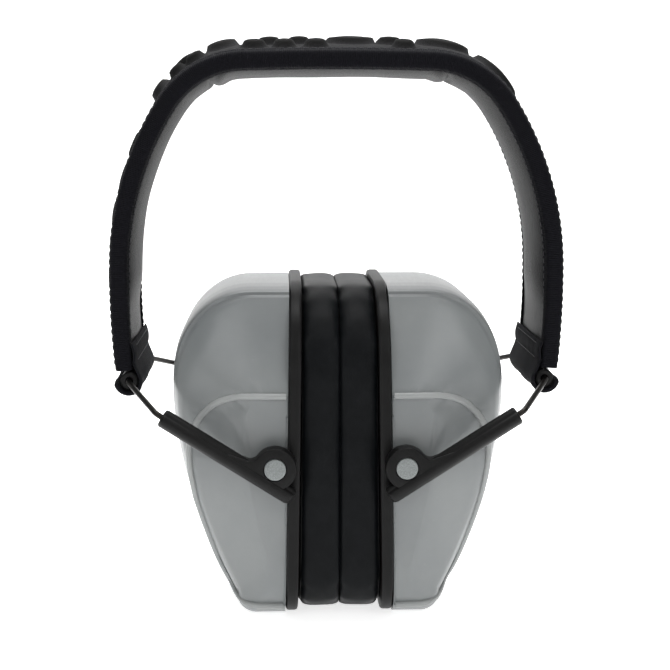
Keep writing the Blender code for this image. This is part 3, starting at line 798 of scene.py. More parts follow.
def hinge_centre():
    """The stirrup hinge's axis on the right side, just past the end of the sleeve."""
    point, outward, down = arch_frame(arch_length())
    return point - outward * BARREL_INSET + down * BARREL_DROP


def loop_path():
    """Middle line of the fabric loop: round the barrel, then up the inner face of the lining."""
    centre = hinge_centre()
    end_point, outward, down = arch_frame(arch_length())
    path = []
    steps = 18
    for step in range(steps + 1):
        angle = math.pi * 1.08 * step / steps
        radius = LOOP_RADIUS - 0.9 * MM * smoothstep(0.4 * math.pi, math.pi, angle)
        path.append(centre + (outward * math.cos(angle) + down * math.sin(angle)) * radius)
    face = BINDING_DEPTH + LINING_CROWN[1] + STRAP_HALF_THICK[1]
    path.append(end_point - outward * (face + 0.2 * MM) - down * 1.0 * MM)
    lap_steps = 10
    for step in range(lap_steps + 1):
        share = step / lap_steps
        distance = arch_length() - 2.5 * MM - LOOP_LAP * share
        point, normal, _ = arch_frame(distance)
        swell = LAP_SWELL * math.sin(math.pi * min(share * 1.15, 1.0)) ** 0.8
        path.append(point - normal * (face + swell))
    return path


def strap_outline(path, edge):
    """Closed outline of the strap's thickness round its middle line, with rounded ends."""
    near = []
    far = []
    last = len(path) - 1
    for index, point in enumerate(path):
        along = (path[min(index + 1, last)] - path[max(index - 1, 0)]).normalized()
        normal = Vector((along.z, 0.0, -along.x))
        thin = smoothstep(7.0, 18.0, index)
        half_thick = STRAP_HALF_THICK[0] + (STRAP_HALF_THICK[1] - STRAP_HALF_THICK[0]) * thin
        half_thick *= edge * (0.55 if index in (0, last) else 1.0)
        near.append(point + normal * half_thick)
        far.append(point - normal * half_thick)
    return near + far[::-1]


def make_end_loop(label, side):
    """Doubled tape that holds the hinge barrel, soft at its edges and puffed where it is sewn."""
    path = loop_path()
    stations = 44
    rings = []
    for step in range(stations + 1):
        share = 2.0 * step / stations - 1.0
        edge = 1.0 - 0.55 * smoothstep(0.95, 1.0, abs(share))
        y = STRAP_HALF_WIDTH * share
        ring = []
        for point in strap_outline(path, edge):
            soft = noise.noise(Vector((point.x * 130.0, y * 130.0, point.z * 130.0))) * 0.3 * MM
            pucker = 0.12 * MM * math.cos(math.tau * y / STITCH_PITCH)
            lap = smoothstep(hinge_centre().z + 4.0 * MM, hinge_centre().z + 8.0 * MM, point.z)
            ring.append(Vector((point.x + soft + pucker * lap, y, point.z + soft)))
        rings.append(ring)
    fit(f"{label}_strap", loft(rings), "headband", "binding_tape", [f"{label}_end_loop"], side, 70.0)


def make_strap_stitching(label, side):
    """Two rows of stitches that hold the strap to the lining."""
    face = BINDING_DEPTH + LINING_CROWN[1] + 2.0 * STRAP_HALF_THICK[1]
    runs = []
    for drop, swell in ((2.6 * MM, 0.35 * MM), (LOOP_LAP + 1.2 * MM, 0.35 * MM)):
        point, normal, _ = arch_frame(arch_length() - drop)
        middle = point - normal * (face + swell)
        count = int(2 * HEM_Y / STITCH_PITCH)
        for step in range(count):
            y = -HEM_Y + STITCH_PITCH * (step + 0.15)
            start = middle + Vector((0.0, y, 0.0))
            runs.append((start, start + Vector((0.0, STITCH_LENGTH, 0.0)), -normal))
    sew(f"{label}_strap_stitching", runs, "headband", side)


def make_barrel(label, side):
    """The plain plastic barrel that the wire turns in."""
    length = BARREL_HALF_LENGTH - 0.7 * MM
    edge = 0.5 * MM
    profile = (
        (-length + 8.0 * MM, BARREL_BORE),
        (-length, BARREL_BORE),
        (-length, BARREL_RADIUS - edge),
        (edge - length, BARREL_RADIUS),
        (length - edge, BARREL_RADIUS),
        (length, BARREL_RADIUS - edge),
        (length, BARREL_BORE),
        (length - 8.0 * MM, BARREL_BORE),
    )
    skin = turned(profile, hinge_centre(), Vector((0.0, 1.0, 0.0)))
    fit(f"{label}_barrel", skin, "headband", "black_plastic", [f"{label}_hinge_barrel"], side)


# ---------------------------------------------------------------- wires and tubes

BEND_BEFORE_MOUTH = 2.2 * MM
BEND_RADIUS = 2.6 * MM
BORE_DEPTH = 6.0 * MM
SEAM_ANGLE = math.radians(128.0)
SEAM_DEPTH = 0.34 * MM
FILLET_RADIUS = 3.0 * MM
EYE_FACE_Y = 49.7 * MM


def tube_direction():
    """The way the tube runs, from its mouth in and down towards the pin."""
    return Vector((-math.cos(TUBE_ANGLE), 0.0, -math.sin(TUBE_ANGLE)))


def tube_rise():
    """The way across the tube, upward."""
    return Vector((-math.sin(TUBE_ANGLE), 0.0, math.cos(TUBE_ANGLE)))


def tube_mouth(y):
    """The middle of the tube's open end."""
    pin = Vector((PIN_X, y, PIN_Z))
    return pin - tube_rise() * EYE_OFFSET - tube_direction() * MOUTH_TO_PIN


def rounded_path(corners, radius):
    """The corner points of a path with each inner corner replaced by an arc."""
    steps = 10
    path = [corners[0]]
    for before, corner, after in zip(corners, corners[1:], corners[2:]):
        back = (before - corner).normalized()
        ahead = (after - corner).normalized()
        half = back.angle(ahead) / 2.0
        reach = radius / math.tan(half)
        centre = corner + (back + ahead).normalized() * (radius / math.sin(half))
        start = (corner + back * reach - centre).normalized()
        end = (corner + ahead * reach - centre).normalized()
        for step in range(steps + 1):
            path.append(centre + start.slerp(end, step / steps) * radius)
    path.append(corners[-1])
    return path


def rod(path, radius, steps=24):
    """Points and faces of a round rod along a path."""
    rings = []
    across = (path[1] - path[0]).orthogonal().normalized()
    for index, point in enumerate(path):
        before = path[max(index - 1, 0)]
        after = path[min(index + 1, len(path) - 1)]
        along = (after - before).normalized()
        across = (across - along * across.dot(along)).normalized()
        up = along.cross(across)
        rings.append([point + across * (radius * c) + up * (radius * s) for c, s in circle(steps)])
    return loft(rings)


def make_stirrup(label, side):
    """One bent wire: across the barrel, out to both tubes and down inside them."""
    centre = hinge_centre()
    corners = []
    for end in (-1, 1):
        mouth = tube_mouth(end * TUBE_Y)
        leg = [
            mouth + tube_direction() * WIRE_IN_TUBE,
            mouth - tube_direction() * BEND_BEFORE_MOUTH,
            Vector((centre.x, end * SHOULDER_Y, centre.z)),
        ]
        corners += leg if end < 0 else leg[::-1]
    skin = rod(rounded_path(corners, BEND_RADIUS), WIRE_RADIUS)
    fit(f"{label}_wire", skin, f"{label}_stirrup", "wire_steel", [f"{label}_wire_stirrup"], side)


def tube_ring(mouth, end, along, radius):
    """One ring of the tube, with the moulding seam that runs down its outer face."""
    steps = 48
    forward = Vector((0.0, float(end), 0.0))
    ring = []
    for step in range(steps):
        angle = math.tau * step / steps
        off = (angle - SEAM_ANGLE) / math.radians(9.0)
        flat = 0.16 * MM * math.cos(2.0 * (angle - SEAM_ANGLE)) ** 2
        size = radius
        if radius > 0.8 * TUBE_RADIUS:
            size -= SEAM_DEPTH * math.exp(-off * off) + flat
        offset = forward * math.sin(angle) - tube_rise() * math.cos(angle)
        ring.append(mouth + tube_direction() * along + offset * size)
    return ring


def eye_outline():
    """Outline of the eye and its web, as (along the tube, across it), with a fillet to the tube."""
    middle_v = TUBE_RADIUS + FILLET_RADIUS - 0.35 * MM
    reach = EYE_RADIUS + FILLET_RADIUS
    middle_u = MOUTH_TO_PIN - math.sqrt(reach ** 2 - (middle_v - EYE_OFFSET) ** 2)
    points = [(middle_u - 9.0 * MM, 0.0), (middle_u - 9.0 * MM, 0.8 * MM)]
    meet = math.atan2(EYE_OFFSET - middle_v, MOUTH_TO_PIN - middle_u)
    for step in range(9):
        angle = -math.pi / 2.0 + (meet + math.pi / 2.0) * step / 8
        points.append((middle_u + FILLET_RADIUS * math.cos(angle),
                       middle_v + FILLET_RADIUS * math.sin(angle)))
    start = math.pi + meet
    finish = -math.asin(EYE_OFFSET / EYE_RADIUS)
    for step in range(1, 37):
        angle = start + (finish - start) * step / 36
        points.append((MOUTH_TO_PIN + EYE_RADIUS * math.cos(angle),
                       EYE_OFFSET + EYE_RADIUS * math.sin(angle)))
    return points


def cut(item, tool):
    """Take one solid out of another."""
    step = item.modifiers.new("cut", "BOOLEAN")
    step.operation = "DIFFERENCE"
    step.solver = "EXACT"
    step.object = tool
    apply_modifiers(item)
    bpy.data.objects.remove(tool, do_unlink=True)


def cap_seat(side, end):
    """The round pocket that the pin's cap lies in."""
    pin = Vector((PIN_X, 0.0, PIN_Z))
    radius = CAP_RADIUS + 0.3 * MM
    hole = ((end * (EYE_FACE_Y - 1.6 * MM), radius), (end * (EYE_FACE_Y + 3.0 * MM), radius))
    points, faces = turned(hole, pin, Vector((0.0, 1.0, 0.0)))
    return new_piece("cap_seat_cutter", points, faces, MATERIALS["black_plastic"], side)


def make_eye(label, place_name, side, end):
    """The flat eye at the foot of the tube, with the seat for the pin's cap."""
    mouth = tube_mouth(0.0)
    rings = []
    for y in (EYE_INNER_Y, EYE_FACE_Y):
        ring = []
        for along, rise in eye_outline():
            point = mouth + tube_direction() * along + tube_rise() * rise
            ring.append(Vector((point.x, end * y, point.z)))
        rings.append(ring)
    points, faces = loft(rings)
    eye = new_piece(f"{label}_{place_name}_eye", points, faces, MATERIALS["black_plastic"], side)
    bevel(eye, 0.7 * MM, 60.0)
    cut(eye, cap_seat(side, end))
    smooth_again(eye, 50.0)
    place(eye, f"{label}_slider", "black_plastic")


def make_tube(label, place_name, side, end):
    """A sliding tube with its open mouth, moulding seam and blunt tip."""
    mouth = tube_mouth(end * TUBE_Y)
    radius = TUBE_RADIUS
    profile = (
        (BORE_DEPTH, BARREL_BORE),
        (0.4 * MM, BARREL_BORE),
        (0.0, BARREL_BORE + 0.3 * MM),
        (0.0, radius - 0.9 * MM),
        (0.12 * MM, radius - 0.4 * MM),
        (0.5 * MM, radius - 0.08 * MM),
        (0.9 * MM, radius),
        (16.0 * MM, radius),
        (32.0 * MM, radius),
        (TUBE_LENGTH - 1.6 * MM, radius),
        (TUBE_LENGTH - 0.7 * MM, radius - 0.25 * MM),
        (TUBE_LENGTH - 0.15 * MM, radius - 0.8 * MM),
        (TUBE_LENGTH, radius - 1.5 * MM),
    )
    points, faces = loft([tube_ring(mouth, end, along, size) for along, size in profile])
    tube = new_piece(f"{label}_{place_name}_sleeve", points, faces, MATERIALS["black_plastic"], side, 50.0)
    cut(tube, cap_seat(side, end))
    smooth_again(tube, 50.0)
    place(tube, f"{label}_slider", "black_plastic", [f"{label}_{place_name}_tube"])
    make_eye(label, place_name, side, end)


def make_pin(label, place_name, side, end):
    """Pivot pin with a softly domed cap."""
    top = EYE_FACE_Y + 0.25 * MM
    radius = CAP_RADIUS
    inner = SHELL_HALF_WIDTH - 3.5 * MM
    profile = (
        (end * (top + 0.12 * MM), 0.4 * MM),
        (end * (top + 0.08 * MM), radius - 1.2 * MM),
        (end * top, radius - 0.35 * MM),
        (end * (top - 0.12 * MM), radius - 0.1 * MM),
        (end * (top - 0.4 * MM), radius),
        (end * (top - 1.5 * MM), radius),
        (end * (top - 1.5 * MM), 2.3 * MM),
        (end * inner, 2.3 * MM),
    )
    skin = turned(profile, Vector((PIN_X, 0.0, PIN_Z)), Vector((0.0, 1.0, 0.0)))
    fit(f"{label}_{place_name}_pin", skin, f"{label}_cup", "grey_pin",
        [f"{label}_{place_name}_pivot_pin"], side)


# ---------------------------------------------------------------- ear cup

# How far the shell's outline drops away, against the distance from its middle, in mm.
TOP_EDGE = (
    (15.8, 0.0), (22.0, 0.4), (26.0, 1.05), (27.9, 1.7), (28.3, 2.7), (29.1, 2.9),
    (29.5, 2.4), (31.0, 3.1), (33.0, 7.4), (36.0, 15.2), (39.0, 24.0), (41.8, 33.4),
)
SIDE_EDGE = (
    (14.8, 0.0), (24.0, 0.5), (27.9, 1.0), (31.0, 2.0), (33.5, 3.1), (35.6, 4.9),
    (41.8, 27.0),
)
# The side again at the shell's upper corner, where a wide chamfer runs down and fades out.
CORNER_EDGE = (
    (14.8, 0.0), (24.0, 0.5), (27.7, 1.0), (28.0, 1.2), (31.0, 5.2), (34.5, 6.8),
    (41.8, 27.0),
)
CHAMFER_Z = (84.0 * MM, 98.0 * MM)
# The moulded bead round the front panel, as X and Z in mm.
BEAD_PATH = (
    (17.6, 78.6), (26.0, 78.6), (32.6, 78.5), (37.4, 77.4), (40.7, 76.1), (43.9, 73.5),
    (46.4, 70.6), (48.8, 65.6), (49.9, 60.0), (49.6, 52.5), (47.8, 42.3), (44.9, 32.9),
    (41.1, 21.4), (36.9, 10.9), (34.2, 7.4), (30.2, 6.1), (17.6, 5.7),
)
BEAD_RADIUS = 1.1 * MM
PANEL_DEPTH = 1.0 * MM
FLANK_SWELL = 0.7 * MM
FOOT_CORNER_SOFT = 21.0 * MM
FOOT_ROUND_SOFT = 20.0 * MM
FAN_CENTRE = (29.0, 55.0)
FAN_SLOPE = 0.034
PANEL_FROM_Y = 30.0 * MM
SIDE_BOW = 27.0 * MM
SHELL_SPACING = 0.75
SHELL_STEPS = 40
PLUG_HEIGHT = 10.0 * MM
PLUG_HALF = (3.2 * MM, 4.6 * MM)


def canted(point):
    """Lean the joint face of the cup so that its cushion is thicker at the bottom."""
    share = min(point.x / RING_X[0], 1.0)
    fade_from = RING_X[1]
    if point.x > fade_from:
        share = max(0.0, 1.0 - (point.x - fade_from) / (SHELL_SHOULDER_X - fade_from))
    return Vector((point.x + CANT * share * (CUP_Z - point.z), point.y, point.z))


def read_table(table, value):
    """Straight-line reading of a (value, result) table given in mm."""
    size = value / MM
    if size <= table[0][0]:
        return table[0][1] * MM
    for (low, first), (high, second) in zip(table, table[1:]):
        if size <= high:
            return (first + (second - first) * (size - low) / (high - low)) * MM
    return table[-1][1] * MM


def foot_drop(across):
    """Round lower edge of the shell."""
    run = max(0.0, across - (SHELL_HALF_WIDTH - FOOT_ROUND_SOFT))
    return FOOT_ROUND_SOFT - math.sqrt(max(FOOT_ROUND_SOFT ** 2 - run ** 2, 0.0))


def shell_profile(steps):
    """The shell seen from the front: x and z from the top rim round to the bottom rim."""
    rim = RING_X[1] + 0.2 * MM
    points = [(rim + (SHELL_SHOULDER_X - rim) * step / 10, SHELL_TOP) for step in range(10)]
    half_wide = SHELL_REACH - SHELL_SHOULDER_X
    half_tall = SHELL_TOP - SHELL_WIDEST_Z
    for step in range(steps + 1):
        angle = math.pi / 2.0 - math.pi / 2.0 * step / steps
        x = SHELL_SHOULDER_X + half_wide * max(math.cos(angle), 0.0) ** SHELL_SQUARENESS
        points.append((x, SHELL_WIDEST_Z + half_tall * max(math.sin(angle), 0.0) ** SHELL_SQUARENESS))
    corner_x, corner_z = SHELL_FOOT_CORNER
    foot_reach = SHELL_FOOT_X + corner_x
    fall = SHELL_WIDEST_Z - corner_z
    for step in range(1, 2 * steps + 1):
        share = step / (2 * steps)
        x = SHELL_REACH - (SHELL_REACH - foot_reach) * share ** SHELL_TAPER
        points.append((x + FLANK_SWELL * math.sin(math.pi * share), SHELL_WIDEST_Z - fall * share))
    for step in range(1, 9):
        angle = math.pi / 2.0 * step / 8
        points.append((SHELL_FOOT_X + corner_x * math.cos(angle), corner_z * (1.0 - math.sin(angle))))
    for step in range(1, 9):
        points.append((SHELL_FOOT_X + (rim - SHELL_FOOT_X) * step / 8, 0.0))
    return points


def shell_stations(fine):
    """Distances from the middle plane, and how far each ring is shrunk into the flat face."""
    breaks = (0.0, 7.0, 14.8, 20.0, 24.0, 27.8, 28.3, 29.1, 29.5, 31.0, 33.5, 35.0, 38.5, 41.8)
    half = []
    for low, high in zip(breaks, breaks[1:]):
        count = max(1, round((high - low) / fine))
        half += [(low + (high - low) * step / count, 1.0) for step in range(count)]
    half.append((41.8, 1.0))
    face_rings = round(30.0 / fine)
    half += [(41.8, 1.0 - 0.985 * (step / face_rings)) for step in range(1, face_rings + 1)]
    rear = [(place_at * MM, shrink) for place_at, shrink in half]
    return [(-place_at, shrink) for place_at, shrink in rear[:0:-1]] + rear


def inside_share(x, z):
    """Signed distance in mm from the bead's path, positive inside the panel."""
    best = 1e9
    inside = False
    for (x1, z1), (x2, z2) in zip(BEAD_PATH, BEAD_PATH[1:] + BEAD_PATH[:1]):
        if (z1 > z) != (z2 > z) and x < (x2 - x1) * (z - z1) / (z2 - z1) + x1:
            inside = not inside
        if x1 == x2:
            continue
        length = (x2 - x1) ** 2 + (z2 - z1) ** 2
        share = min(max(((x - x1) * (x2 - x1) + (z - z1) * (z2 - z1)) / length, 0.0), 1.0)
        best = min(best, math.hypot(x - x1 - share * (x2 - x1), z - z1 - share * (z2 - z1)))
    return best if inside else -best


def panel_relief(x, z):
    """How far the front panel is sunk at a place, with its fan of flat facets near the eye."""
    depth = PANEL_DEPTH * smoothstep(-0.2, 0.9, inside_share(x, z))
    if depth <= 0.0:
        return 0.0
    reach = math.hypot(x - FAN_CENTRE[0], z - FAN_CENTRE[1])
    angle = math.degrees(math.atan2(z - FAN_CENTRE[1], x - FAN_CENTRE[0]))
    if 5.0 < angle < 85.0:
        turn = (angle - 5.0) / 16.0
        fold = abs((turn + 1.0) % 2.0 - 1.0)
        fade = smoothstep(5.0, 12.0, angle) * smoothstep(85.0, 80.0 + 1e-6, angle)
        depth += fold * FAN_SLOPE * reach * MM * fade
    return depth


def bowl_rings(wall, fine, steps, relief):
    """Rings of the cup's skin, moved inward by wall."""
    rim = RING_X[1] + 0.2 * MM
    middle = SHELL_TOP / 2.0
    profile = shell_profile(steps)
    rings = []
    for y, shrink in shell_stations(fine):
        across = abs(y)
        top_scale = 1.0 - read_table(TOP_EDGE, across) / middle
        foot_scale = 1.0 - foot_drop(across) / middle
        plain = read_table(SIDE_EDGE, across)
        chamfered = read_table(CORNER_EDGE, across)
        ring = []
        for x, z in profile:
            drop = plain + (chamfered - plain) * smoothstep(*CHAMFER_Z, z)
            bow = 1.0 - drop / SIDE_BOW
            deep = SHELL_FRONT_SHARE + (1.0 - SHELL_FRONT_SHARE) * bow
            wall_x = wall * (x - rim) / (SHELL_REACH - rim)
            wall_z = wall * (z - middle) / middle
            out = rim + (x - rim - wall_x) * deep * shrink
            up = middle + (z - middle - wall_z) * (top_scale if z > middle else foot_scale) * shrink
            depth = across * (1.0 - wall / SHELL_HALF_WIDTH)
            if relief and across > PANEL_FROM_Y:
                depth -= panel_relief(out / MM, up / MM)
            ring.append(canted(Vector((out, math.copysign(depth, y), up))))
        rings.append(ring)
    return rings


def bowl_solid(outer, inner):
    """Points and faces of a hollow bowl between two skins of the same grid."""
    rows = len(outer)
    columns = len(outer[0])
    points = [point for ring in outer for point in ring] + [point for ring in inner for point in ring]
    skin = grid_faces(rows, columns)
    start = rows * columns
    faces = skin + [tuple(index + start for index in face[::-1]) for face in skin]
    edge = [row * columns for row in range(rows)]
    edge += [(rows - 1) * columns + column for column in range(1, columns)]
    edge += [row * columns + columns - 1 for row in range(rows - 2, -1, -1)]
    edge += list(range(columns - 2, 0, -1))
    for first, second in zip(edge, edge[1:] + edge[:1]):
        faces.append((first, second, second + start, first + start))
    return points, faces


def make_shell(label, side):
    """Outer shell: creased top, flat front turned back at its outer part, sunk panel and hollow."""
    outer = bowl_rings(0.0, SHELL_SPACING, SHELL_STEPS, True)
    inner = bowl_rings(SHELL_WALL, SHELL_SPACING, SHELL_STEPS, False)
    points, faces = bowl_solid(outer, inner)
    fit(f"{label}_cup_shell", (points, faces), f"{label}_cup", "grey_shell", [f"{label}_shell"],
        side, 33.0)
    surface = BVHTree.FromPolygons([tuple(point) for point in points], faces)
    for name, end in ENDS:
        make_bead(f"{label}_{name}_bead", label, side, end, surface)


def bead_line(end, surface):
    """The bead's middle line on the shell's surface."""
    line = []
    for (x1, z1), (x2, z2) in zip(BEAD_PATH, BEAD_PATH[1:]):
        count = max(2, int(math.hypot(x2 - x1, z2 - z1) / 1.2))
        for step in range(count):
            share = step / count
            x, z = x1 + (x2 - x1) * share, z1 + (z2 - z1) * share
            start = Vector((x * MM, end * 80.0 * MM, z * MM))
            hit = surface.ray_cast(start, Vector((0.0, -end, 0.0)))[0]
            if hit is not None and abs(hit.y) > 20.0 * MM:
                line.append(hit)
    for _ in range(3):
        inner = [(a + b * 2.0 + c) / 4.0 for a, b, c in zip(line, line[1:], line[2:])]
        line = [line[0]] + inner + [line[-1]]
    return line


def make_bead(name, label, side, end, surface):
    """The raised bead round the front or rear panel, in a lighter copy of the shell's grey: a painted
    highlight.
    """
    skin = rod(bead_line(end, surface), BEAD_RADIUS, 12)
    fit(name, skin, f"{label}_cup", "grey_shell", side=side, finish="bead_painted_highlight")


def make_foam_bowl(label, side):
    """Sound-absorbing foam bowl inside the shell."""
    outer = bowl_rings(4.4 * MM, 3.0, 10, False)
    inner = bowl_rings(12.4 * MM, 3.0, 10, False)
    for rings, phase in ((outer, 1.0), (inner, 7.0)):
        for ring in rings:
            for point in ring:
                point.x += (noise.noise(point * 120.0 + Vector((phase, 0.0, 0.0))) - 0.6) * 0.5 * MM
                point.x = max(point.x, RING_X[1] + 1.0 * MM)
    fit(f"{label}_foam_bowl", bowl_solid(outer, inner), f"{label}_cup", "foam",
        [f"{label}_foam_insert"], side, 50.0)


def make_plug(label, side):
    """Small oval plug standing on the lower part of the shell's outer face."""
    corner_x, corner_z = SHELL_FOOT_CORNER
    fall = SHELL_WIDEST_Z - corner_z
    foot_reach = SHELL_FOOT_X + corner_x

    def face_at(z):
        share = (SHELL_WIDEST_Z - z) / fall
        return Vector((SHELL_REACH - (SHELL_REACH - foot_reach) * share ** SHELL_TAPER, 0.0, z))

    low = face_at(PLUG_HEIGHT - PLUG_HALF[1])
    high = face_at(PLUG_HEIGHT + PLUG_HALF[1])
    up = (high - low).normalized()
    outward = Vector((up.z, 0.0, -up.x))
    centre = (low + high) / 2.0
    rings = []
    for rise, share in ((-0.6, 1.0), (1.7, 1.0), (1.95, 0.96), (2.1, 0.86), (1.95, 0.74), (2.0, 0.3)):
        ring = []
        for c, s in circle(40):
            ring.append(centre + outward * (rise * MM) + up * (PLUG_HALF[1] * share * s)
                        + Vector((0.0, PLUG_HALF[0] * share * c, 0.0)))
        rings.append(ring)
    fit(f"{label}_oval_plug", loft(rings), f"{label}_cup", "black_plastic", [f"{label}_vent_plug"], side)


# ---------------------------------------------------------------- cushion side

# How far the plate stays behind the face it has in the CAD.
PLATE_SHY = 1.6 * MM
CLOTH_VOXEL = 4.0 * MM
CLOTH_FRAMES = 20
CLOTH_PRESSURE = 4.0
PUFF_LIMIT = 0.9 * MM


def outline(inset, corner_steps=16):
    """The cup's rounded outline in Y and Z, moved inward by inset; it turns into the ear opening's."""
    share = inset / CUSHION_OPENING_INSET
    points = []
    for quarter, (sign_y, sign_z) in enumerate(((1, 1), (-1, 1), (-1, -1), (1, -1))):
        corner = RING_TOP_CORNER if sign_z > 0 else FOOT_CORNER_SOFT
        radius = corner * (1.0 - share) + CUSHION_OPENING_CORNER * share
        half_y = RING_HALF_WIDTH - inset - radius
        half_z = RING_HALF_HEIGHT - inset - radius
        for step in range(corner_steps + 1):
            angle = math.pi / 2.0 * (quarter + step / corner_steps)
            y = sign_y * half_y + radius * math.cos(angle)
            z = sign_z * half_z + radius * math.sin(angle)
            points.append((y, CUP_Z + z))
    return points


def ring_solid(section, corner_steps=16):
    """A ring that follows the outline; section is a loop of (inset, x) points."""
    loops = [outline(inset, corner_steps) for inset, _ in section]
    rings = []
    for station in range(len(loops[0])):
        ring = []
        for (_, x), loop in zip(section, loops):
            y, z = loop[station]
            ring.append(canted(Vector((x, y, z))))
        rings.append(ring)
    return loft(rings, closed=True)


def make_trim_ring(label, side):
    """Black flange between shell and cushion, with eased edges and a shallow step."""
    low, high = RING_X
    inner = 7.0 * MM
    section = (
        (1.1 * MM, low - 0.05 * MM),
        (0.35 * MM, low + 0.15 * MM),
        (0.05 * MM, low + 0.7 * MM),
        (0.0, low + 1.3 * MM),
        (0.0, high - 1.0 * MM),
        (0.1 * MM, high - 0.45 * MM),
        (0.5 * MM, high - 0.08 * MM),
        (1.1 * MM, high + 0.1 * MM),
        (inner, high + 0.1 * MM),
        (inner, low),
    )
    fit(f"{label}_flange", ring_solid(section, 24), f"{label}_cup", "black_plastic",
        [f"{label}_trim_ring"], side, 30.0)


def make_plate(label, side):
    """The plate that carries the cushion, thin enough to clear the other side's cushion."""
    outer = CUSHION_INSET + 1.5 * MM
    inner = CUSHION_OPENING_INSET - 1.5 * MM
    low, high = PLATE_X
    low += PLATE_SHY
    edge = 0.3 * MM
    section = (
        (outer + edge, low),
        (outer, low + edge),
        (outer, high - edge),
        (outer + edge, high),
        (inner - edge, high),
        (inner, high - edge),
        (inner, low + edge),
        (inner - edge, low),
    )
    fit(f"{label}_plate", ring_solid(section), f"{label}_cup", "black_plastic",
        [f"{label}_cushion_plate"], side, 50.0)


def cushion_section():
    """Loop of (inset, x) round the cushion's skin, from the joint face to the plate and back."""
    back = PLATE_X[1] + 0.3 * MM
    face = CUSHION_FACE_X - 0.9 * MM
    outer = CUSHION_INSET - 0.6 * MM
    inner = CUSHION_OPENING_INSET
    lip = 1.8 * MM
    section = [(outer + 1.2 * MM, back), (outer + 0.3 * MM, back - 0.4 * MM), (outer, back - 1.3 * MM)]
    for step in range(9):
        angle = math.pi / 2.0 * step / 8
        section.append((outer + lip * (1.0 - math.cos(angle)), face + lip * (1.0 - math.sin(angle))))
    section += [(outer + 8.0 * MM, face), (inner - 8.0 * MM, face)]
    for step in range(9):
        angle = math.pi / 2.0 * (1.0 - step / 8)
        section.append((inner - lip * (1.0 - math.cos(angle)), face + lip * (1.0 - math.sin(angle))))
    section += [(inner, back - 1.3 * MM), (inner - 0.3 * MM, back - 0.4 * MM), (inner - 1.2 * MM, back)]
    return section


def puffed(item):
    """Blow the skin up softly as cloth, held where it is clamped to the plate."""
    skin = item.copy()
    skin.data = item.data.copy()
    bpy.context.scene.collection.objects.link(skin)
    remesh = skin.modifiers.new("even_mesh", "REMESH")
    remesh.mode = "VOXEL"
    remesh.voxel_size = CLOTH_VOXEL
    apply_modifiers(skin)
    start = [vert.co.copy() for vert in skin.data.vertices]
    clamp = skin.vertex_groups.new(name="clamp")
    held = [index for index, point in enumerate(start)
            if point.x + CANT * (point.z - CUP_Z) > PLATE_X[0] + 1.0 * MM]
    clamp.add(held, 1.0, "REPLACE")
    cloth = skin.modifiers.new("cloth", "CLOTH")
    cloth.settings.vertex_group_mass = "clamp"
    cloth.settings.use_pressure = True
    cloth.settings.uniform_pressure_force = CLOTH_PRESSURE
    cloth.settings.effector_weights.gravity = 0.0
    cloth.settings.quality = 6
    cloth.collision_settings.use_collision = False
    cloth.point_cache.frame_start = 1
    cloth.point_cache.frame_end = CLOTH_FRAMES
    scene = bpy.context.scene
    for number in range(1, CLOTH_FRAMES + 1):
        scene.frame_set(number)
    graph = bpy.context.evaluated_depsgraph_get()
    done = bpy.data.meshes.new_from_object(skin.evaluated_get(graph))
    for vert, old in zip(done.vertices, start):
        move = vert.co - old
        if move.length > PUFF_LIMIT:
            move = move.normalized() * PUFF_LIMIT
        vert.co = old + move
    scene.frame_set(1)
    skin.modifiers.clear()
    skin.data = done
    finer = skin.modifiers.new("finer", "SUBSURF")
    finer.levels = 1
    apply_modifiers(skin)
    result = skin.data
    bpy.data.objects.remove(skin, do_unlink=True)
    return result


def cushion_mesh():
    blank = new_piece("cushion_blank", *ring_solid(cushion_section()), MATERIALS["cushion_skin"])
    mesh = puffed(blank)
    bpy.data.objects.remove(blank, do_unlink=True)
    for vert in mesh.vertices:
        wall = smoothstep(1.0 * MM, 6.0 * MM, vert.co.x)
        soft = noise.noise(vert.co * 75.0) * 0.35 * MM + noise.noise(vert.co * 190.0) * 0.1 * MM
        away = Vector((0.0, vert.co.y, vert.co.z - CUP_Z)).normalized()
        vert.co += away * soft * wall
        vert.co.x = max(vert.co.x, CUSHION_FACE_X * 0.6)
    return mesh


def make_cushions():
    """Both cushions from the same mesh, mirrored for the left side."""
    mesh = cushion_mesh()
    for label, side in SIDES:
        own = mesh.copy()
        if side < 0:
            own.transform(Matrix.Scale(-1.0, 4, Vector((1.0, 0.0, 0.0))))
            own.flip_normals()
        own.materials.clear()
        own.materials.append(MATERIALS["cushion_skin"])
        cushion = bpy.data.objects.new(f"{label}_cushion", own)
        bpy.context.scene.collection.objects.link(cushion)
        smooth_again(cushion, 75.0)
        place(cushion, f"{label}_cup", "cushion_skin", [f"{label}_cushion_skin", f"{label}_cushion_foam"])
        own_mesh(cushion)


# ---------------------------------------------------------------- stage

# Strength of the air in front of and beside the object, and of the white behind and above it.
ROOM_DIM = 0.1
ROOM_BRIGHT = 0.8
# Where each wall of the light tent begins and is full, along the way a ray goes.
TENT_WALLS = (("Y", 0.75, 0.95), ("Z", 0.6, 0.95))
# Name, place, what it points at, size and power of each soft box.
SOFT_BOXES = (
    ("key_above", (0.03, 0.16, 0.85), (0.0, 0.0, 0.1), (0.7, 0.7), 11.5),
    ("fill_left", (-0.75, -1.5, 0.9), (0.0, 0.0, 0.08), (0.9, 0.9), 6.0),
    ("fill_right", (0.75, -1.5, 0.9), (0.0, 0.0, 0.08), (0.9, 0.9), 7.6),
)
CAMERA_PLACE = (-19.0 * MM, -481.7 * MM, 165.7 * MM)
CAMERA_TARGET = (-0.1 * MM, 0.0, 92.4 * MM)


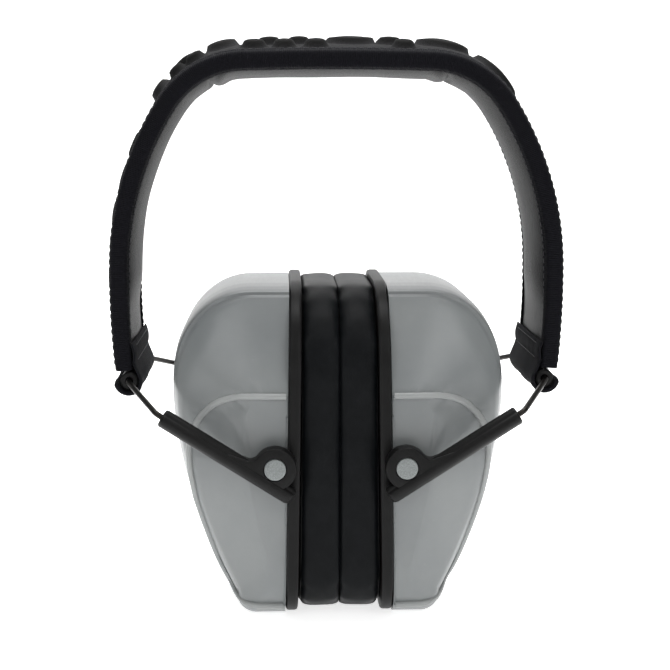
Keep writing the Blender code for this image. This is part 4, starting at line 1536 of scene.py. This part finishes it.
def make_floor():
    """A plain pale sweep that turns up behind the object."""
    half_width = 14.0
    front = -14.0
    back = 1.4
    radius = 0.6
    height = 2.2
    profile = [(front, 0.0), (back - radius, 0.0)]
    for step in range(1, 17):
        angle = math.pi / 2.0 * step / 16
        profile.append((back - radius + radius * math.sin(angle), radius - radius * math.cos(angle)))
    profile.append((back, height))
    points = [(x, y, z - 0.05 * MM) for y, z in profile for x in (-half_width, half_width)]
    floor = new_piece("floor_sweep", points, grid_faces(len(profile), 2), MATERIALS["floor_paper"])
    floor.data.shade_smooth()


def soft_box(name, place_at, target, size, power):
    """A soft light pointed at a target, itself not seen by the camera."""
    data = bpy.data.lights.new(name, "AREA")
    data.shape = "RECTANGLE"
    data.size, data.size_y = size
    data.energy = power
    item = bpy.data.objects.new(name, data)
    item.location = place_at
    item.rotation_euler = (Vector(target) - Vector(place_at)).to_track_quat("-Z", "Y").to_euler()
    item.visible_camera = False
    bpy.context.scene.collection.objects.link(item)


def light_tent():
    """White walls above and behind the object, and a dim room in front of it."""
    world = bpy.data.worlds.new("studio_air")
    world.use_nodes = True
    nodes = world.node_tree.nodes
    nodes["Background"].inputs["Color"].default_value = (1.0, 1.0, 1.0, 1.0)
    links = world.node_tree.links
    way = nodes.new("ShaderNodeSeparateXYZ")
    links.new(nodes.new("ShaderNodeTexCoord").outputs["Generated"], way.inputs[0])
    walls = []
    for axis, low, high in TENT_WALLS:
        wall = nodes.new("ShaderNodeMapRange")
        links.new(way.outputs[axis], wall.inputs["Value"])
        wall.inputs["From Min"].default_value = low
        wall.inputs["From Max"].default_value = high
        wall.inputs["To Min"].default_value = ROOM_DIM
        wall.inputs["To Max"].default_value = ROOM_BRIGHT
        walls.append(wall.outputs["Result"])
    brightest = nodes.new("ShaderNodeMath")
    brightest.operation = "MAXIMUM"
    for socket, wall in zip(brightest.inputs, walls):
        links.new(wall, socket)
    links.new(brightest.outputs[0], nodes["Background"].inputs["Strength"])
    bpy.context.scene.world = world


def light_stage():
    """Soft light from above and from the front, inside the light tent."""
    for box in SOFT_BOXES:
        soft_box(*box)
    light_tent()
    bpy.context.scene.view_settings.view_transform = "Standard"


def make_camera():
    """The camera, at the photograph's viewing angle."""
    data = bpy.data.cameras.new("camera")
    data.sensor_width = 36.0
    data.lens = 74.15
    data.clip_start = 0.01
    data.clip_end = 20.0
    item = bpy.data.objects.new("camera", data)
    item.location = CAMERA_PLACE
    item.rotation_euler = (Vector(CAMERA_TARGET) - item.location).to_track_quat("-Z", "Y").to_euler()
    bpy.context.scene.collection.objects.link(item)
    bpy.context.scene.camera = item


# ---------------------------------------------------------------- everything


def build():
    """Make every piece, the stage, the lights and the camera."""
    finish_cad_nodes()
    make_cover()
    make_lining()
    make_bindings()
    make_band_stitching()
    for label, side in SIDES:
        make_end_loop(label, side)
        make_strap_stitching(label, side)
        make_barrel(label, side)
        make_stirrup(label, side)
        for place_name, end in ENDS:
            make_tube(label, place_name, side, end)
            make_pin(label, place_name, side, end)
        make_shell(label, side)
        make_foam_bowl(label, side)
        make_plug(label, side)
        make_trim_ring(label, side)
        make_plate(label, side)
    make_cushions()
    make_floor()
    light_stage()
    make_camera()


build()
